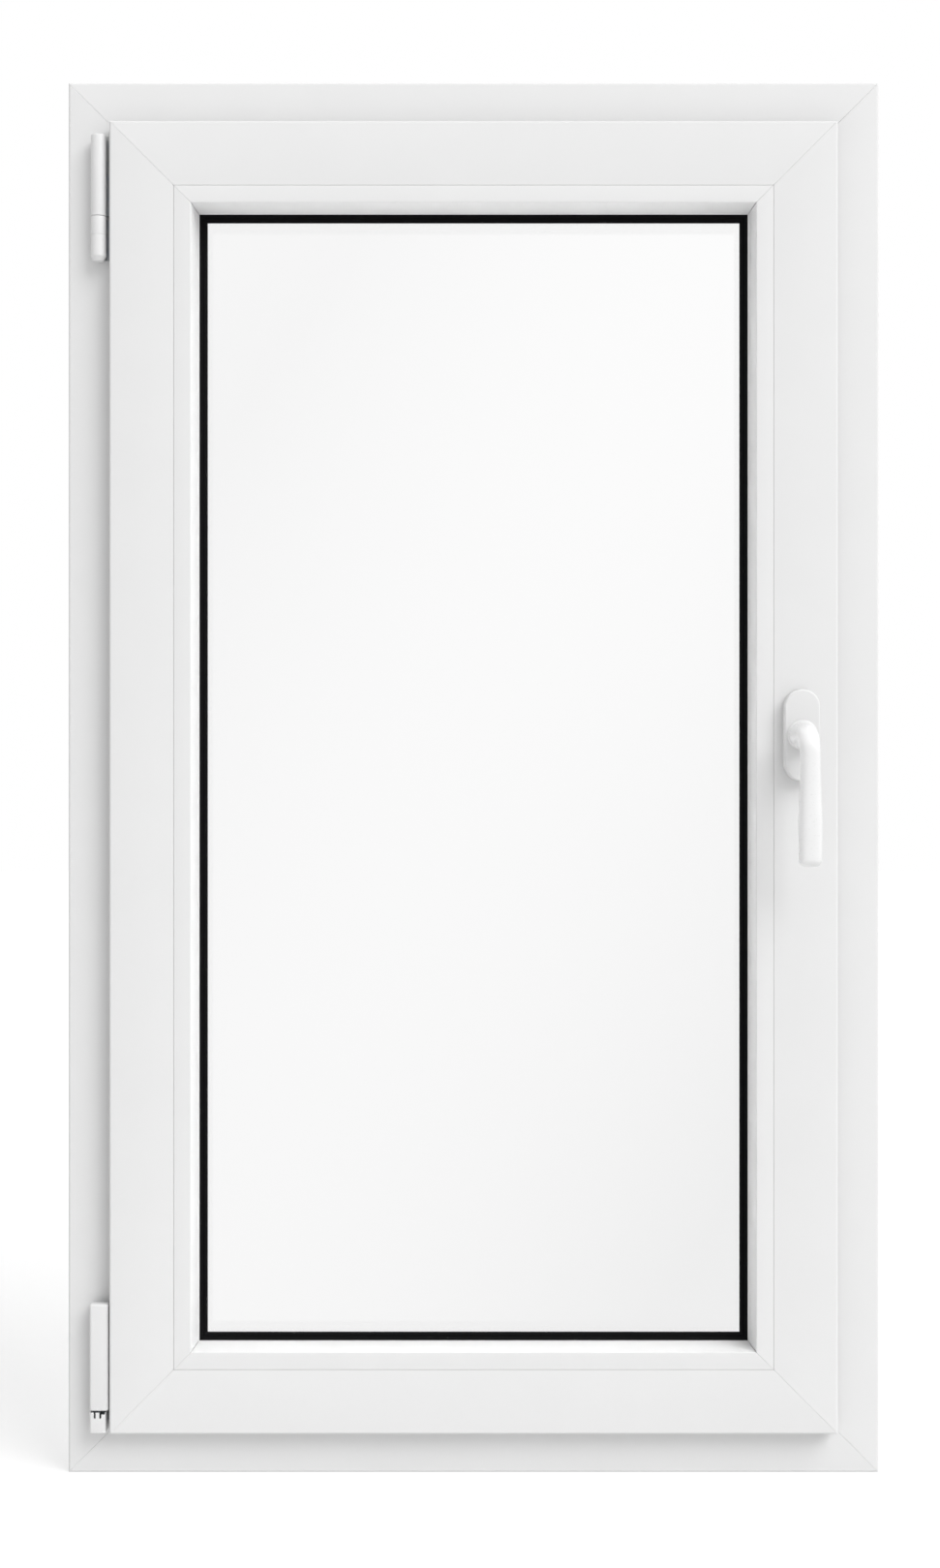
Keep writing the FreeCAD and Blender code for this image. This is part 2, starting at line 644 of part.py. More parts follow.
def gaskets():
    """The two glazing gaskets, the frame's weather gasket and the sash's overlap gasket."""
    limits = ("bead_side", "sash_low + bead_line", "sash_high - bead_line")
    room = [
        ("seal_back", "bead_rear"),
        ("bead_foot", "bead_rear"),
        ("seal_sight", "glass_room - lip_rest"),
        ("seal_sight", "glass_room"),
        ("seal_back", "glass_room"),
    ]
    ring("glazing_gasket_room", room, *limits)
    weather = [
        ("seal_back", "glass_weather"),
        ("glazing_stop + 1", "glass_weather"),
        ("glazing_stop + 1", "glass_weather + lip_rest"),
        ("glazing_stop", "glass_weather + skin"),
        ("seal_back", "glass_weather + skin"),
    ]
    ring("glazing_gasket_weather", weather, *limits)
    lip = [
        ("57.5", "lip_face"),
        ("58.5", "sash_back + 0.4"),
        ("62.5", "sash_back + 0.4"),
        ("63.5", "lip_face"),
    ]
    ring("frame_weather_gasket", lip, "frame_width / 2", "0", "frame_height")
    body = ring(
        "overlap_gasket",
        [
            ("1", "overlap_back"),
            ("6", "overlap_back"),
            ("5", "overlap_back + 2.1"),
            ("2", "overlap_back + 2.1"),
        ],
        "sash_side",
        "sash_low",
        "sash_high",
    )
    # the seal stops short of the hinge leaves
    for low, high in (("sash_low - 1", "155"), ("1035", "sash_high + 1")):
        gap = box("-sash_side - 1", low, "-sash_side + 8", high)
        cut(body, "XZ", [gap], "overlap_back - 1", "room_face")


def glazing_blocks():
    """Blocks that carry and centre the glass in the sash."""
    body = new_body("glazing_blocks")
    front, back = "glass_room + 0.5", "glass_weather - 0.5"
    for place in ("-190", "190"):
        x_low, x_high = around(place, "block_half")
        for low in ("glass_low - glass_edge", "glass_high"):
            solid(body, "XZ", [box(x_low, low, x_high, f"{low} + glass_edge")], front, back)
    for place in ("sash_low + 180", "sash_high - 180"):
        z_low, z_high = around(place, "block_half")
        for side in ("glass_side", "-(glass_side) - glass_edge"):
            solid(body, "XZ", [box(side, z_low, f"{side} + glass_edge", z_high)], front, back)


# ---- hinges ----


def hinge_leaf(body, low, high, front, back, inner):
    """A leaf behind a hinge barrel and the neck that joins them."""
    x_low, x_high = around("hinge_side", "leaf_half")
    solid(body, "XY", [box(x_low, front, inner, back)], low, high)
    solid(body, "XY", [box(x_low, "hinge_line + 3.6", x_high, back)], low, high)


def corner_bearing():
    """The frame's lower bearing: a block with a blind round socket, a leaf and a rebate leg."""
    body = new_body("corner_bearing")
    x_low, x_high = around("hinge_side", "bearing_half")
    inner = "-rebate_side + strap"
    solid(body, "XY", [box(x_low, "hinge_line - 6", x_high, "room_face")], "sash_low + 0.8", "50.4")
    leaf = box(x_low, "leaf_front", inner, "room_face")
    solid(body, "XY", [leaf], "bearing_leaf_low", "lower_cover_low - 1")
    leg = box("-rebate_side", "room_face", inner, "groove_line + groove_width")
    solid(body, "XY", [leg], "bearing_leaf_low", "bearing_leg_high")
    socket = ("circle", "hinge_side", "hinge_line", "socket_radius")
    cut(body, "XY", [socket], "tilt_height - 4", "51")


def arc_points(radius, first, last, steps):
    """Points of a circle about the tilt axis, as (distance from the hinge axis, height)."""
    points = []
    for k in range(1, steps + 1):
        angle = math.radians(first + k * (last - first) / steps)
        points.append(
            (f"({radius}) * {math.cos(angle):.4f}", f"tilt_height + ({radius}) * ({math.sin(angle):.4f})")
        )
    return points


def pivot_pieces():
    """The liner that turns in the lower bearing, and the sash's ball pin that turns and tilts in it."""
    outer = "socket_radius - ball_play"
    pocket = [("0", "tilt_height - ball_radius - ball_play")]
    pocket += arc_points("ball_radius + ball_play", -90, 46.45, 8)
    pocket += [
        ("4.2", "tilt_height + 6"),
        (outer, "tilt_height + 6"),
        (outer, "tilt_height - 4"),
        ("0", "tilt_height - 4"),
    ]
    turned(new_body("pivot_cup_liner"), pocket, "hinge_side", "hinge_line")
    shape = [("0", "tilt_height - ball_radius")]
    shape += arc_points("ball_radius", -90, 56, 8)
    shape += [("pin_radius", "pin_high"), ("0", "pin_high")]
    turned(new_body("pivot_ball_pin"), shape, "hinge_side", "hinge_line")


def front_corners(height):
    """A test for upright edges longer than a height, in front of the hinge axis."""
    line = size("hinge_line")
    return lambda e: e.BoundBox.ZLength > height and e.BoundBox.YMax < line


def corner_bearing_cap():
    """The lower bearing's cover, with two slots in its front."""
    body = new_body("corner_bearing_cap")
    x_low, x_high = around("hinge_side", "box_half")
    outline = box(x_low, "hinge_line - box_half", x_high, "leaf_front - 0.4")
    solid(body, "XY", [outline], "sash_low", "cap_high")
    round_edges(body, "2", front_corners(15))
    x_low, x_high = around("hinge_side", "box_half - box_shell")
    cut(body, "XY", [box(x_low, "hinge_line - 6.1", x_high, "room_face")], "sash_low + 0.7", "cap_high + 1")
    slots = [
        box(f"hinge_side + {near}", "cap_slot_low", f"hinge_side + {far}", "cap_high + 1")
        for near, far in ((-3.2, -1.5), (1.6, 3.3))
    ]
    cut(body, "XZ", slots, "hinge_line - box_half - 1", "hinge_line - 5")


def corner_hinge():
    """The sash's lower hinge: a barrel round the ball pin, a leaf behind the overlap and a rebate leg."""
    body = new_body("corner_hinge")
    barrel = ("circle", "hinge_side", "hinge_line", "barrel_radius")
    solid(body, "XY", [barrel], "lower_cover_low + 1", "lower_leaf_high")
    span = ("lower_leaf_low", "lower_leaf_high")
    inner = "-sash_side + overlap"
    hinge_leaf(body, *span, "overlap_back", "room_face - 0.8", inner)
    solid(body, "XY", [box(f"{inner} - strap", "overlap_back", inner, "-10")], *span)
    bore = ("circle", "hinge_side", "hinge_line", "pin_radius")
    cut(body, "XY", [bore], "lower_cover_low", "pin_high")


def tube_cover(label, low, high):
    """A round hinge cover, open at the back for the leaf."""
    body = new_body(label)
    circle = ("circle", "hinge_side", "hinge_line", "cover_radius")
    solid(body, "XY", [circle, ("circle", "hinge_side", "hinge_line", "5.4")], low, high)
    x_low, x_high = around("hinge_side", "2.6")
    cut(body, "XY", [box(x_low, "hinge_line", x_high, "room_face")], low, high)
    return body


def corner_hinge_cover():
    """The flat fronted cover of the lower hinge."""
    body = new_body("corner_hinge_cover")
    x_low, x_high = "hinge_side - box_half", "hinge_side + cover_reach"
    front = "hinge_line - box_half"
    solid(body, "XY", [box(x_low, front, x_high, "hinge_line + 4")], "lower_cover_low", "lower_cover_high")
    round_edges(body, "2", front_corners(80))
    hollow = box(f"{x_low} + box_wall", f"{front} + box_wall", f"{x_high} - box_wall", "room_face")
    cut(body, "XY", [hollow], "lower_cover_low - 1", "lower_cover_high - 1.5")


def stay_hinge():
    """The frame's upper bearing with its pin, and the covers of the upper hinge."""
    body = new_body("stay_bearing")
    barrel = ("circle", "hinge_side", "hinge_line", "barrel_radius")
    hole = ("circle", "hinge_side", "hinge_line", "stay_pin")
    inner = "-rebate_side + strap"
    span = ("upper_low + 2.4", "upper_joint - 0.9")
    solid(body, "XY", [barrel], *span)
    hinge_leaf(body, *span, "leaf_front", "room_face", inner)
    leg = box("-rebate_side", "leaf_front", inner, "groove_line + groove_width")
    solid(body, "XY", [leg], *span)
    cut(body, "XY", [hole], "upper_low", "upper_joint")
    pin = new_body("stay_bearing_pin")
    solid(pin, "XY", [hole], "upper_low + 2.9", "knuckle_high - 4.4")
    tube_cover("stay_bearing_cap", "upper_low", "upper_joint")
    tube_cover("stay_arm_cover", "knuckle_low", "knuckle_high")


def stay_arm():
    """The arm that holds the sash top: a knuckle on the pin, a leaf, a flat arm and its stud."""
    body = new_body("stay_arm")
    knuckle = ("circle", "hinge_side", "hinge_line", "barrel_radius")
    solid(body, "XY", [knuckle], "knuckle_low + 0.2", "knuckle_high - 0.4")
    root = "-rebate_side + 8"
    near = "-rebate_side + 1"
    hinge_leaf(body, "knuckle_low + 1.7", "arm_high", "room_face - 2.6", "room_face - 0.6", root)
    low, high = around("groove_line", "arm_half")
    link = box(near, "room_face - 2.6", root, high)
    solid(body, "XY", [link], "arm_low", "arm_high")
    arm = box(near, low, "stud_side + 8", high)
    solid(body, "XY", [arm], "arm_low", "arm_high")
    hole = ("circle", "hinge_side", "hinge_line", "stay_pin + 0.05")
    cut(body, "XY", [hole], "upper_joint", "knuckle_high - 4")
    stud = new_body("stay_arm_stud")
    solid(stud, "XY", [("circle", "stud_side", "groove_line", "stud_radius")], "arm_low - 14.5", "arm_low")


# ---- strikers and screws ----


def striker(body, place, upright, lip):
    """A keeper plate with a rib behind the cam, and a lip in front of it where the sash is pulled in."""
    ends = around(f"({place}) {'-' if upright else '+'} keeper_shift", "keeper_half")
    lip_ends = around(place, "8")
    plate_low, plate_high = around("groove_line", "9")
    pieces = [
        (plate_low, plate_high, "keeper_plate", ends),
        ("groove_line + 3.9", "groove_line + 6", "keeper_rib", ends),
    ]
    if lip:
        pieces.append(("groove_line - 5.9", "groove_line - 3.9", "keeper_rib", lip_ends))
    for front, back, height, (low, high) in pieces:
        if upright:
            solid(body, "XZ", [box(f"rebate_side - {height}", low, "rebate_side", high)], front, back)
        else:
            solid(body, "XZ", [box(low, f"rebate_top - {height}", high, "rebate_top")], front, back)


def strikers():
    """Keepers: two on the lock jamb and one on the head, and the tilt keeper on the sill."""
    body = new_body("strikers")
    striker(body, "upper_cam", True, True)
    striker(body, "lower_cam", True, False)
    striker(body, "top_cam", False, True)
    tilt = new_body("tilt_striker")
    for front, back, height, ends in (
        ("groove_line - 9", "groove_line + 9", "keeper_plate", around("tilt_place", "25")),
        ("groove_line - 8.5", "groove_line - 5.7", "tilt_rib", around("tilt_place", "14")),
        ("groove_line + 4.4", "groove_line + 7", "tilt_rib", around("tilt_place", "14")),
    ):
        solid(tilt, "XZ", [box(ends[0], "frame_face", ends[1], f"frame_face + {height}")], front, back)


def screws(label, rows):
    """Screws in rows of plane, places, head and shank; head and shank are (low, high, radius)."""
    body = new_body(label)
    for plane, places, head, shank in rows:
        for low, high, radius in (head, shank):
            solid(body, plane, [("circle", x, y, radius) for x, y in places], low, high)


def frame_screws():
    """Screws of the keepers and of the two hinge bearings."""
    side = "rebate_side"
    plate = "groove_line"
    screws(
        "striker_screws",
        [
            (
                "YZ",
                [(plate, f"{cam} + {off}") for cam in ("lower_cam", "upper_cam") for off in (-45, 11)],
                (f"{side} - keeper_plate", side, "small_head"),
                (side, f"{side} + 8", "small_shank"),
            ),
            (
                "XY",
                [(f"top_cam + {off}", plate) for off in (-11, 45)],
                ("rebate_top - keeper_plate", "rebate_top", "small_head"),
                ("rebate_top", "rebate_top + 8", "small_shank"),
            ),
            (
                "XY",
                [(f"tilt_place + {off}", plate) for off in (-20, 20)],
                ("frame_face", "frame_face + keeper_plate", "small_head"),
                ("frame_face - 8", "frame_face", "small_shank"),
            ),
        ],
    )
    screws(
        "bearing_screws",
        [
            (
                "YZ",
                [("groove_line", z) for z in ("66", "82", "98", "1055", "1072")],
                (f"-{side} + strap", f"-{side} + strap + 2", "hinge_head"),
                (f"-{side} - 9", f"-{side} + strap", "hinge_shank"),
            )
        ],
    )


def sash_screws():
    """Screws of the lower hinge's leg and of the faceplates."""
    side = "sash_side - overlap"
    screws(
        "corner_hinge_screws",
        [
            (
                "YZ",
                [("-14", z) for z in ("76", "104", "132")],
                (f"-({side}) - strap - 2", f"-({side}) - strap", "hinge_head"),
                (f"-({side}) - strap", f"-({side}) + 12", "hinge_shank"),
            )
        ],
    )
    body = new_body("faceplate_screws")
    for plane, circles, low, high in (
        ("YZ", plate_holes("side"), "plate_face - screw_length", "plate_face"),
        ("XY", plate_holes("top"), "plate_top - screw_length", "plate_top"),
        ("XY", plate_holes("bottom"), "plate_low", "plate_low + screw_length"),
    ):
        solid(body, plane, circles, low, high)


def plate_holes(side):
    """The screw holes of one faceplate."""
    if side == "side":
        return [("circle", "groove_line", z, "hinge_shank") for z in ("145", "1050")]
    places = ("-270", "-130", "35") if side == "top" else ("20", "45")
    return [("circle", x, "groove_line", "hinge_shank") for x in places]


# ---- drive gear ----


def faceplates():
    """The lock faceplate, the stay rail on top and the bottom faceplate, slotted for the cams."""
    low, high = around("groove_line", "plate_width / 2")
    plate = new_body("lock_faceplate")
    solid(plate, "YZ", [box(low, "lock_plate_low", high, "lock_plate_high")], "plate_back", "plate_face")
    slots = [
        ("slot", "groove_line", f"{cam} - handle_travel", cam, "cam_radius + 0.6")
        for cam in ("lower_cam", "upper_cam")
    ]
    cut(plate, "YZ", slots, "plate_back - 1", "plate_face + 1")
    cut(plate, "YZ", plate_holes("side"), "plate_back - 1", "plate_face + 1")
    rail = new_body("stay_rail")
    outline = box("-rail_start", low, "rail_end", high)
    solid(rail, "XY", [outline], "plate_top - plate_thickness", "plate_top")
    openings = [
        box("top_cam - 4.1", "groove_line - 4.1", "top_cam + handle_travel + 4.1", "groove_line + 4.1"),
        box("stud_side - 22.5", "groove_line - 3.7", "stud_side + 4.5", "groove_line + 3.7"),
    ]
    openings += plate_holes("top")
    cut(rail, "XY", openings, "plate_top - plate_thickness - 1", "plate_top + 1")
    bottom = new_body("bottom_faceplate")
    solid(bottom, "XY", [box("0", low, "rail_end", high)], "plate_low", "plate_low + plate_thickness")
    openings = [box("tilt_place - 4.1", "groove_line - 4.1", "tilt_cam + 4.1", "groove_line + 4.1")]
    openings += plate_holes("bottom")
    cut(bottom, "XY", openings, "plate_low - 1", "plate_low + plate_thickness + 1")


def corner_drives():
    """Corner drives that carry the rods' pull round the two lock side corners."""
    body = new_body("corner_drives")
    inner = "plate_back - drive_depth"
    top_back, low_back = "plate_top - plate_thickness", "plate_low + plate_thickness"
    for edge, plate_edge, deep, end in (
        ("plate_top", top_back, f"{top_back} - drive_depth", "lock_plate_high"),
        ("plate_low", low_back, f"{low_back} + drive_depth", "lock_plate_low"),
    ):
        block = [
            ("plate_back", end),
            ("plate_back", plate_edge),
            ("rail_end + 2", plate_edge),
            ("rail_end + 2", deep),
            (inner, deep),
            (inner, end),
        ]
        cover = [
            ("plate_face", end),
            ("plate_face", edge),
            ("rail_end", edge),
            ("rail_end", plate_edge),
            ("plate_back", plate_edge),
            ("plate_back", end),
        ]
        solid(body, "XZ", [block], *around("groove_line", "case_thickness_half"))
        solid(body, "XZ", [cover], *around("groove_line", "plate_width / 2"))


def gearbox_case():
    """The gearbox case round the pinion, open towards the rod, with two holes for the handle screws."""
    body = new_body("gearbox_case")
    low, high = around("handle_height", "case_half")
    front, back = around("groove_line", "case_thickness_half")
    outline = box("plate_face - case_depth", low, "rod_back - running_gap", high)
    solid(body, "XZ", [outline], front, back)
    room = ("circle", "handle_side", "handle_height", "pinion_room")
    cut(body, "XZ", [room], *around("groove_line", "3.4"))
    bearing = ("circle", "handle_side", "handle_height", "journal_radius + 0.05")
    cut(body, "XZ", [bearing] + screw_circles("2.5"), f"{front} - 1", f"{back} + 1")


def drive_pinion():
    """A twelve tooth pinion with journals on both sides and a square hole for the spindle."""
    body = new_body("drive_pinion")
    teeth = 12
    root, tip = 9.8, 12.6
    outline = []
    for k in range(teeth):
        for radius, across in ((root, -1.35), (tip, -0.9), (tip, 0.9), (root, 1.35)):
            angle = 2 * math.pi * k / teeth + math.asin(across / radius)
            outline.append(
                (
                    f"handle_side + {radius * math.cos(angle):.4f}",
                    f"handle_height + {radius * math.sin(angle):.4f}",
                )
            )
    solid(body, "XZ", [outline], *around("groove_line", "3"))
    journal = ("circle", "handle_side", "handle_height", "journal_radius")
    solid(body, "XZ", [journal], *around("groove_line", "case_thickness_half"))
    cut(body, "XZ", [spindle_square()], *around("groove_line", "case_thickness_half + 1"))


def drive_rods():
    """The side rod with its rack of windows, the top rod and the bottom rod, and their cams."""
    low, high = around("groove_line", "rod_width / 2")
    side = new_body("drive_rod_side")
    solid(side, "YZ", [box(low, "190", high, "upper_cam + 8")], "rod_back", "rod_face")
    windows = []
    for k in range(-3, 9):
        z_low, z_high = around(f"handle_height + {k} * tooth_pitch", "window_half")
        windows.append(box("groove_line - 3.6", z_low, "groove_line + 3.6", z_high))
    cut(side, "YZ", windows, "rod_back - 1", "rod_face + 1")
    top = new_body("drive_rod_top")
    back, face = "plate_thickness + running_gap + rod_thickness", "plate_thickness + running_gap"
    solid(top, "XY", [box("60", low, "205", high)], f"plate_top - ({back})", f"plate_top - ({face})")
    bottom = new_body("drive_rod_bottom")
    solid(bottom, "XY", [box("100", low, "250", high)], f"plate_low + {face}", f"plate_low + {back}")
    cams = new_body("side_cams")
    circles = [("circle", "groove_line", cam, "cam_radius") for cam in ("lower_cam", "upper_cam")]
    solid(cams, "YZ", circles, "rod_face", "plate_face + cam_height")
    head_cam = new_body("top_cam")
    circle = ("circle", "top_cam", "groove_line", "cam_radius")
    solid(head_cam, "XY", [circle], f"plate_top - ({face})", "plate_top + cam_height - 0.5")
    sill_cam = new_body("tilt_cam")
    circle = ("circle", "tilt_cam", "groove_line", "cam_radius")
    solid(sill_cam, "XY", [circle], "plate_low - cam_height", f"plate_low + {face}")


# ---- handle ----


def screw_circles(radius):
    """Circles at the two handle screws."""
    return [
        ("circle", "handle_side", f"handle_height {sign} screw_spacing / 2", radius) for sign in ("-", "+")
    ]


def spindle_square():
    """The outline of the square spindle."""
    x_low, x_high = around("handle_side", "square_half")
    z_low, z_high = around("handle_height", "square_half")
    return box(x_low, z_low, x_high, z_high)


def handle():
    """The base and cover on the sash, the square spindle, the two screws and the lever."""
    centre = ("handle_side", "handle_height")
    base = new_body("handle_base")
    slot = ("slot", "handle_side", *around("handle_height", "base_centre"), "base_half")
    solid(base, "XZ", [slot], "sash_front - base_depth", "sash_front")
    holes = [("circle", *centre, "stem_radius + 0.05")] + screw_circles("2.6")
    cut(base, "XZ", holes, "sash_front - base_depth - 1", "sash_front + 1")
    cut(base, "XZ", screw_circles("4.6"), "sash_front - base_depth - 1", "sash_front - 5")
    cover = new_body("handle_cover")
    slot = ("slot", "handle_side", *around("handle_height", "rose_centre"), "rose_half")
    solid(cover, "XZ", [slot], "sash_front - rose_depth", "sash_front")
    round_edges(cover, "1.5", front_edge("sash_front - rose_depth"))
    hollow = ("slot", "handle_side", *around("handle_height", "base_centre"), "base_half + 0.05")
    cut(cover, "XZ", [hollow], "sash_front - rose_depth + 2", "sash_front + 1")
    hole = ("circle", *centre, "stem_radius + 0.6")
    cut(cover, "XZ", [hole], "sash_front - rose_depth - 1", "sash_front - base_depth")
    screw = new_body("handle_screws")
    solid(screw, "XZ", screw_circles("4.4"), "sash_front - 8", "sash_front - 5")
    solid(screw, "XZ", screw_circles("2.5"), "sash_front - 5", "groove_line + 4")
    spindle = new_body("handle_spindle")
    solid(spindle, "XZ", [spindle_square()], "sash_front - 20", "groove_line + case_thickness_half")
    handle_lever()


def handle_lever():
    """The lever: a flared neck from the cover and a blade that widens below the axis."""
    body = new_body("handle_lever")
    right = [
        ("lever_half", "handle_height + lever_top"),
        ("lever_half", "handle_height - 30"),
        ("9.7", "handle_height - 62"),
        ("9.2", "handle_height - lever_drop"),
    ]
    blade = [(f"handle_side - {across}", height) for across, height in right]
    blade += [(f"handle_side + {across}", height) for across, height in reversed(right)]
    solid(body, "XZ", [blade], "sash_front - lever_front", "sash_front - lever_back")
    round_edges(body, "4", lambda e: e.BoundBox.YLength > 10)
    round_edges(body, "3.5", front_edge("sash_front - lever_front"))
    outline = [
        ("0", "sash_front - 44"),
        ("7.8", "sash_front - 44"),
        ("7.8", "sash_front - 27"),
        ("9.5", "sash_front - 20"),
        ("neck_radius", "sash_front - 14"),
        ("neck_radius", "sash_front - rose_depth - running_gap"),
        ("stem_radius", "sash_front - rose_depth - running_gap"),
        ("stem_radius", "sash_front - 1"),
        ("0", "sash_front - 1"),
    ]
    neck = new_sketch(body, "XY", "handle_height")
    draw(neck, [(f"handle_side + {radius}", depth) for radius, depth in outline])
    axis = size("handle_side")
    line = Part.LineSegment(FreeCAD.Vector(axis, -1, 0), FreeCAD.Vector(axis, -2, 0))
    number = neck.addGeometry(line, True)
    for point, depth in ((1, "-1"), (2, "-2")):
        pin_down(neck, "DistanceX", number, point, "handle_side")
        pin_down(neck, "DistanceY", number, point, depth)
    revolve(body, neck)
    cut(body, "XZ", [spindle_square()], "sash_front - 20", "sash_front")


def build():
    """Make every piece in the order of a real assembly."""
    frame_bars()
    frame_reinforcements()
    drainage_caps()
    sash_bars()
    sash_reinforcements()
    glazing_beads()
    glass_unit()
    gaskets()
    glazing_blocks()
    corner_bearing()
    pivot_pieces()
    corner_bearing_cap()
    corner_hinge()
    corner_hinge_cover()
    stay_hinge()
    stay_arm()
    strikers()
    frame_screws()
    sash_screws()
    faceplates()
    corner_drives()
    gearbox_case()
    drive_pinion()
    drive_rods()
    handle()


build()
doc.recompute()
for thing in doc.Objects:
    if {"Invalid", "Error"} & set(thing.State):
        raise ValueError(f"{thing.Label} has state {thing.State}")
os.makedirs("parts", exist_ok=True)
for part in parts:
    if part.Shape.isNull() or not part.Shape.isValid():
        raise ValueError(f"{part.Label} has no valid shape")
    part.Shape.exportStep(f"parts/{part.Label}.step")
    print(part.Label, len(part.Shape.Solids), round(part.Shape.Volume))
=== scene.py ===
"""Looks of a white tilt-and-turn window: bars, beads, seals, glass, hinges, handle, hardware and studio."""

import json
import math

import bpy
import numpy as np
from bpy.props import FloatProperty, FloatVectorProperty, PointerProperty
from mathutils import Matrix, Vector


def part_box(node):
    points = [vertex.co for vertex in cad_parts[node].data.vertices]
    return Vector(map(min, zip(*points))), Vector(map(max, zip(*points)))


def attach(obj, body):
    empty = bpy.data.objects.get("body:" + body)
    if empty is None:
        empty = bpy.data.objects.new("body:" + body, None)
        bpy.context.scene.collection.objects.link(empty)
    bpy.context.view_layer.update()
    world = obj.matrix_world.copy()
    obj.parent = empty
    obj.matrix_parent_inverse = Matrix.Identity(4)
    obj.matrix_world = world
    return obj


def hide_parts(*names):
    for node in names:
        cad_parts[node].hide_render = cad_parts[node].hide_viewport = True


bl_info = {
    "name": "Tilt and turn window looks",
    "version": (1, 0, 0),
    "blender": (4, 5, 0),
    "location": "3D View > Sidebar > Window",
    "description": "Builds the visible pieces, finishes and studio of a white tilt-and-turn window",
    "category": "Object",
}

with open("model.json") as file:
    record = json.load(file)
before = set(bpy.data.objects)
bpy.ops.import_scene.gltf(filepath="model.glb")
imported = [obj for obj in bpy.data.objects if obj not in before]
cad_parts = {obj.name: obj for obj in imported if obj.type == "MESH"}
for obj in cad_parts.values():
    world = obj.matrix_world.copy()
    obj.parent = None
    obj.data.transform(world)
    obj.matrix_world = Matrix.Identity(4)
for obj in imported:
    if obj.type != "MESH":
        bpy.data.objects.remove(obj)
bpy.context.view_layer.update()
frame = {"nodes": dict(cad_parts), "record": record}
MM = 0.001


def linear(code):
    """Turn an sRGB hex colour into linear red, green and blue."""
    parts = np.array([int(code[i : i + 2], 16) for i in (1, 3, 5)]) / 255
    low = parts / 12.92
    high = ((parts + 0.055) / 1.055) ** 2.4
    return tuple(float(c) for c in np.where(parts <= 0.04045, low, high))


# ---- settings a user may change ----


def length(name, description, value_mm):
    """A length setting, given in millimetres and kept in metres."""
    return FloatProperty(
        name=name, description=description, default=value_mm * MM, unit="LENGTH", subtype="DISTANCE"
    )


def colour(name, description, code):
    """A colour setting, given as an sRGB hex code."""
    return FloatVectorProperty(
        name=name, description=description, default=linear(code), subtype="COLOR", min=0, max=1
    )


class ProfileSettings(bpy.types.PropertyGroup):
    """Sizes of the extruded bars."""

    edge: length("Edge", "Chamfer and rounding of the bars' visible long edges", 1.3)
    weld: length("Weld line", "Half width and depth of the groove left at a welded mitre", 0.3)
    frame_face: length("Frame face", "Width of the frame's room face", 45)
    frame_lip: length("Frame lip", "Thickness of the frame's weather lip", 16)
    overlap: length("Sash overlap", "Width of the sash overlap in front of the frame", 18)
    bead_line: length("Bead line", "Width of the sash out to the bead joint", 55)
    bead_flat: length("Bead flat", "Width of a bead's flat face", 15)


class HandleSettings(bpy.types.PropertyGroup):
    """Sizes of the lever handle."""

    reach: length("Reach", "How far the lever's middle stands out from the sash", 46.8)
    drop: length("Drop", "How far the lever hangs below its axis", 111)
    flange: length("Flange radius", "Radius of the flange in front of the cover", 13)
    stem: length("Stem radius", "Radius of the stem inside the cover", 10)


class FinishSettings(bpy.types.PropertyGroup):
    """Colours of the finishes."""

    profile: colour("Profiles", "White rigid PVC of the bars and beads", "#D8D8D8")
    cover: colour("Covers", "White moulded plastic of covers and caps", "#D6D6D6")
    lacquer: colour("Lever", "White powder coat of the lever", "#E0E0E0")
    seal: colour("Seals", "Black rubber of the seals", "#08080A")
    zinc: colour("Zinc", "Zinc plated steel of the hardware", "#B9BCBF")
    glass: colour("Glass", "Tint of the float glass", "#FFFFFF")
    floor: colour("Floor", "Pale studio floor", "#A6A6A6")


class StudioSettings(bpy.types.PropertyGroup):
    """Light and camera."""

    back: FloatProperty(name="Back", description="Strength of the light behind the glass", default=6.0)
    sky: FloatProperty(name="Sky", description="Strength of the soft light all round", default=0.655)
    key: FloatProperty(name="Key", description="Strength of the soft key light", default=2.3)
    key_width: FloatProperty(name="Key width", description="Width of the key light in degrees", default=40.0)
    distance: length("Camera distance", "From the frame's room face to the camera", 2000)
    lens: FloatProperty(name="Lens", description="Focal length of the camera in millimetres", default=53.17)


GROUPS = (
    ("profile_settings", ProfileSettings),
    ("handle_settings", HandleSettings),
    ("finish_settings", FinishSettings),
    ("studio_settings", StudioSettings),
)


# ---- meshes from arrays ----


def make_piece(name, points, faces):
    """Put arrays of points and faces into a mesh object that sits at the origin."""
    mesh = bpy.data.meshes.new(name)
    mesh.from_pydata(np.reshape(points, (-1, 3)).tolist(), [], faces)
    mesh.validate()
    mesh.update()
    piece = bpy.data.objects.new(name, mesh)
    bpy.context.collection.objects.link(piece)
    return piece


def grid_faces(rings, count, first=0, closed_rings=False):
    """Quads between neighbouring rings of equal count, each ring closed on itself."""
    last = rings if closed_rings else rings - 1
    k, i = np.meshgrid(np.arange(last), np.arange(count), indexing="ij")
    after, across = (k + 1) % rings, (i + 1) % count
    quads = np.stack(
        [k * count + i, k * count + across, after * count + across, after * count + i], axis=-1
    )
    return (quads.reshape(-1, 4) + first).tolist()


def skin(name, rings, caps=True, closed_rings=False):
    """A surface through rings of points (ring, point, xyz), its two ends closed by flat faces."""
    rings = np.asarray(rings, dtype=float)
    count = rings.shape[1]
    faces = grid_faces(rings.shape[0], count, closed_rings=closed_rings)
    if caps and not closed_rings:
        faces.append(list(range(count))[::-1])
        faces.append(list(range((rings.shape[0] - 1) * count, rings.shape[0] * count)))
    return make_piece(name, rings, faces)


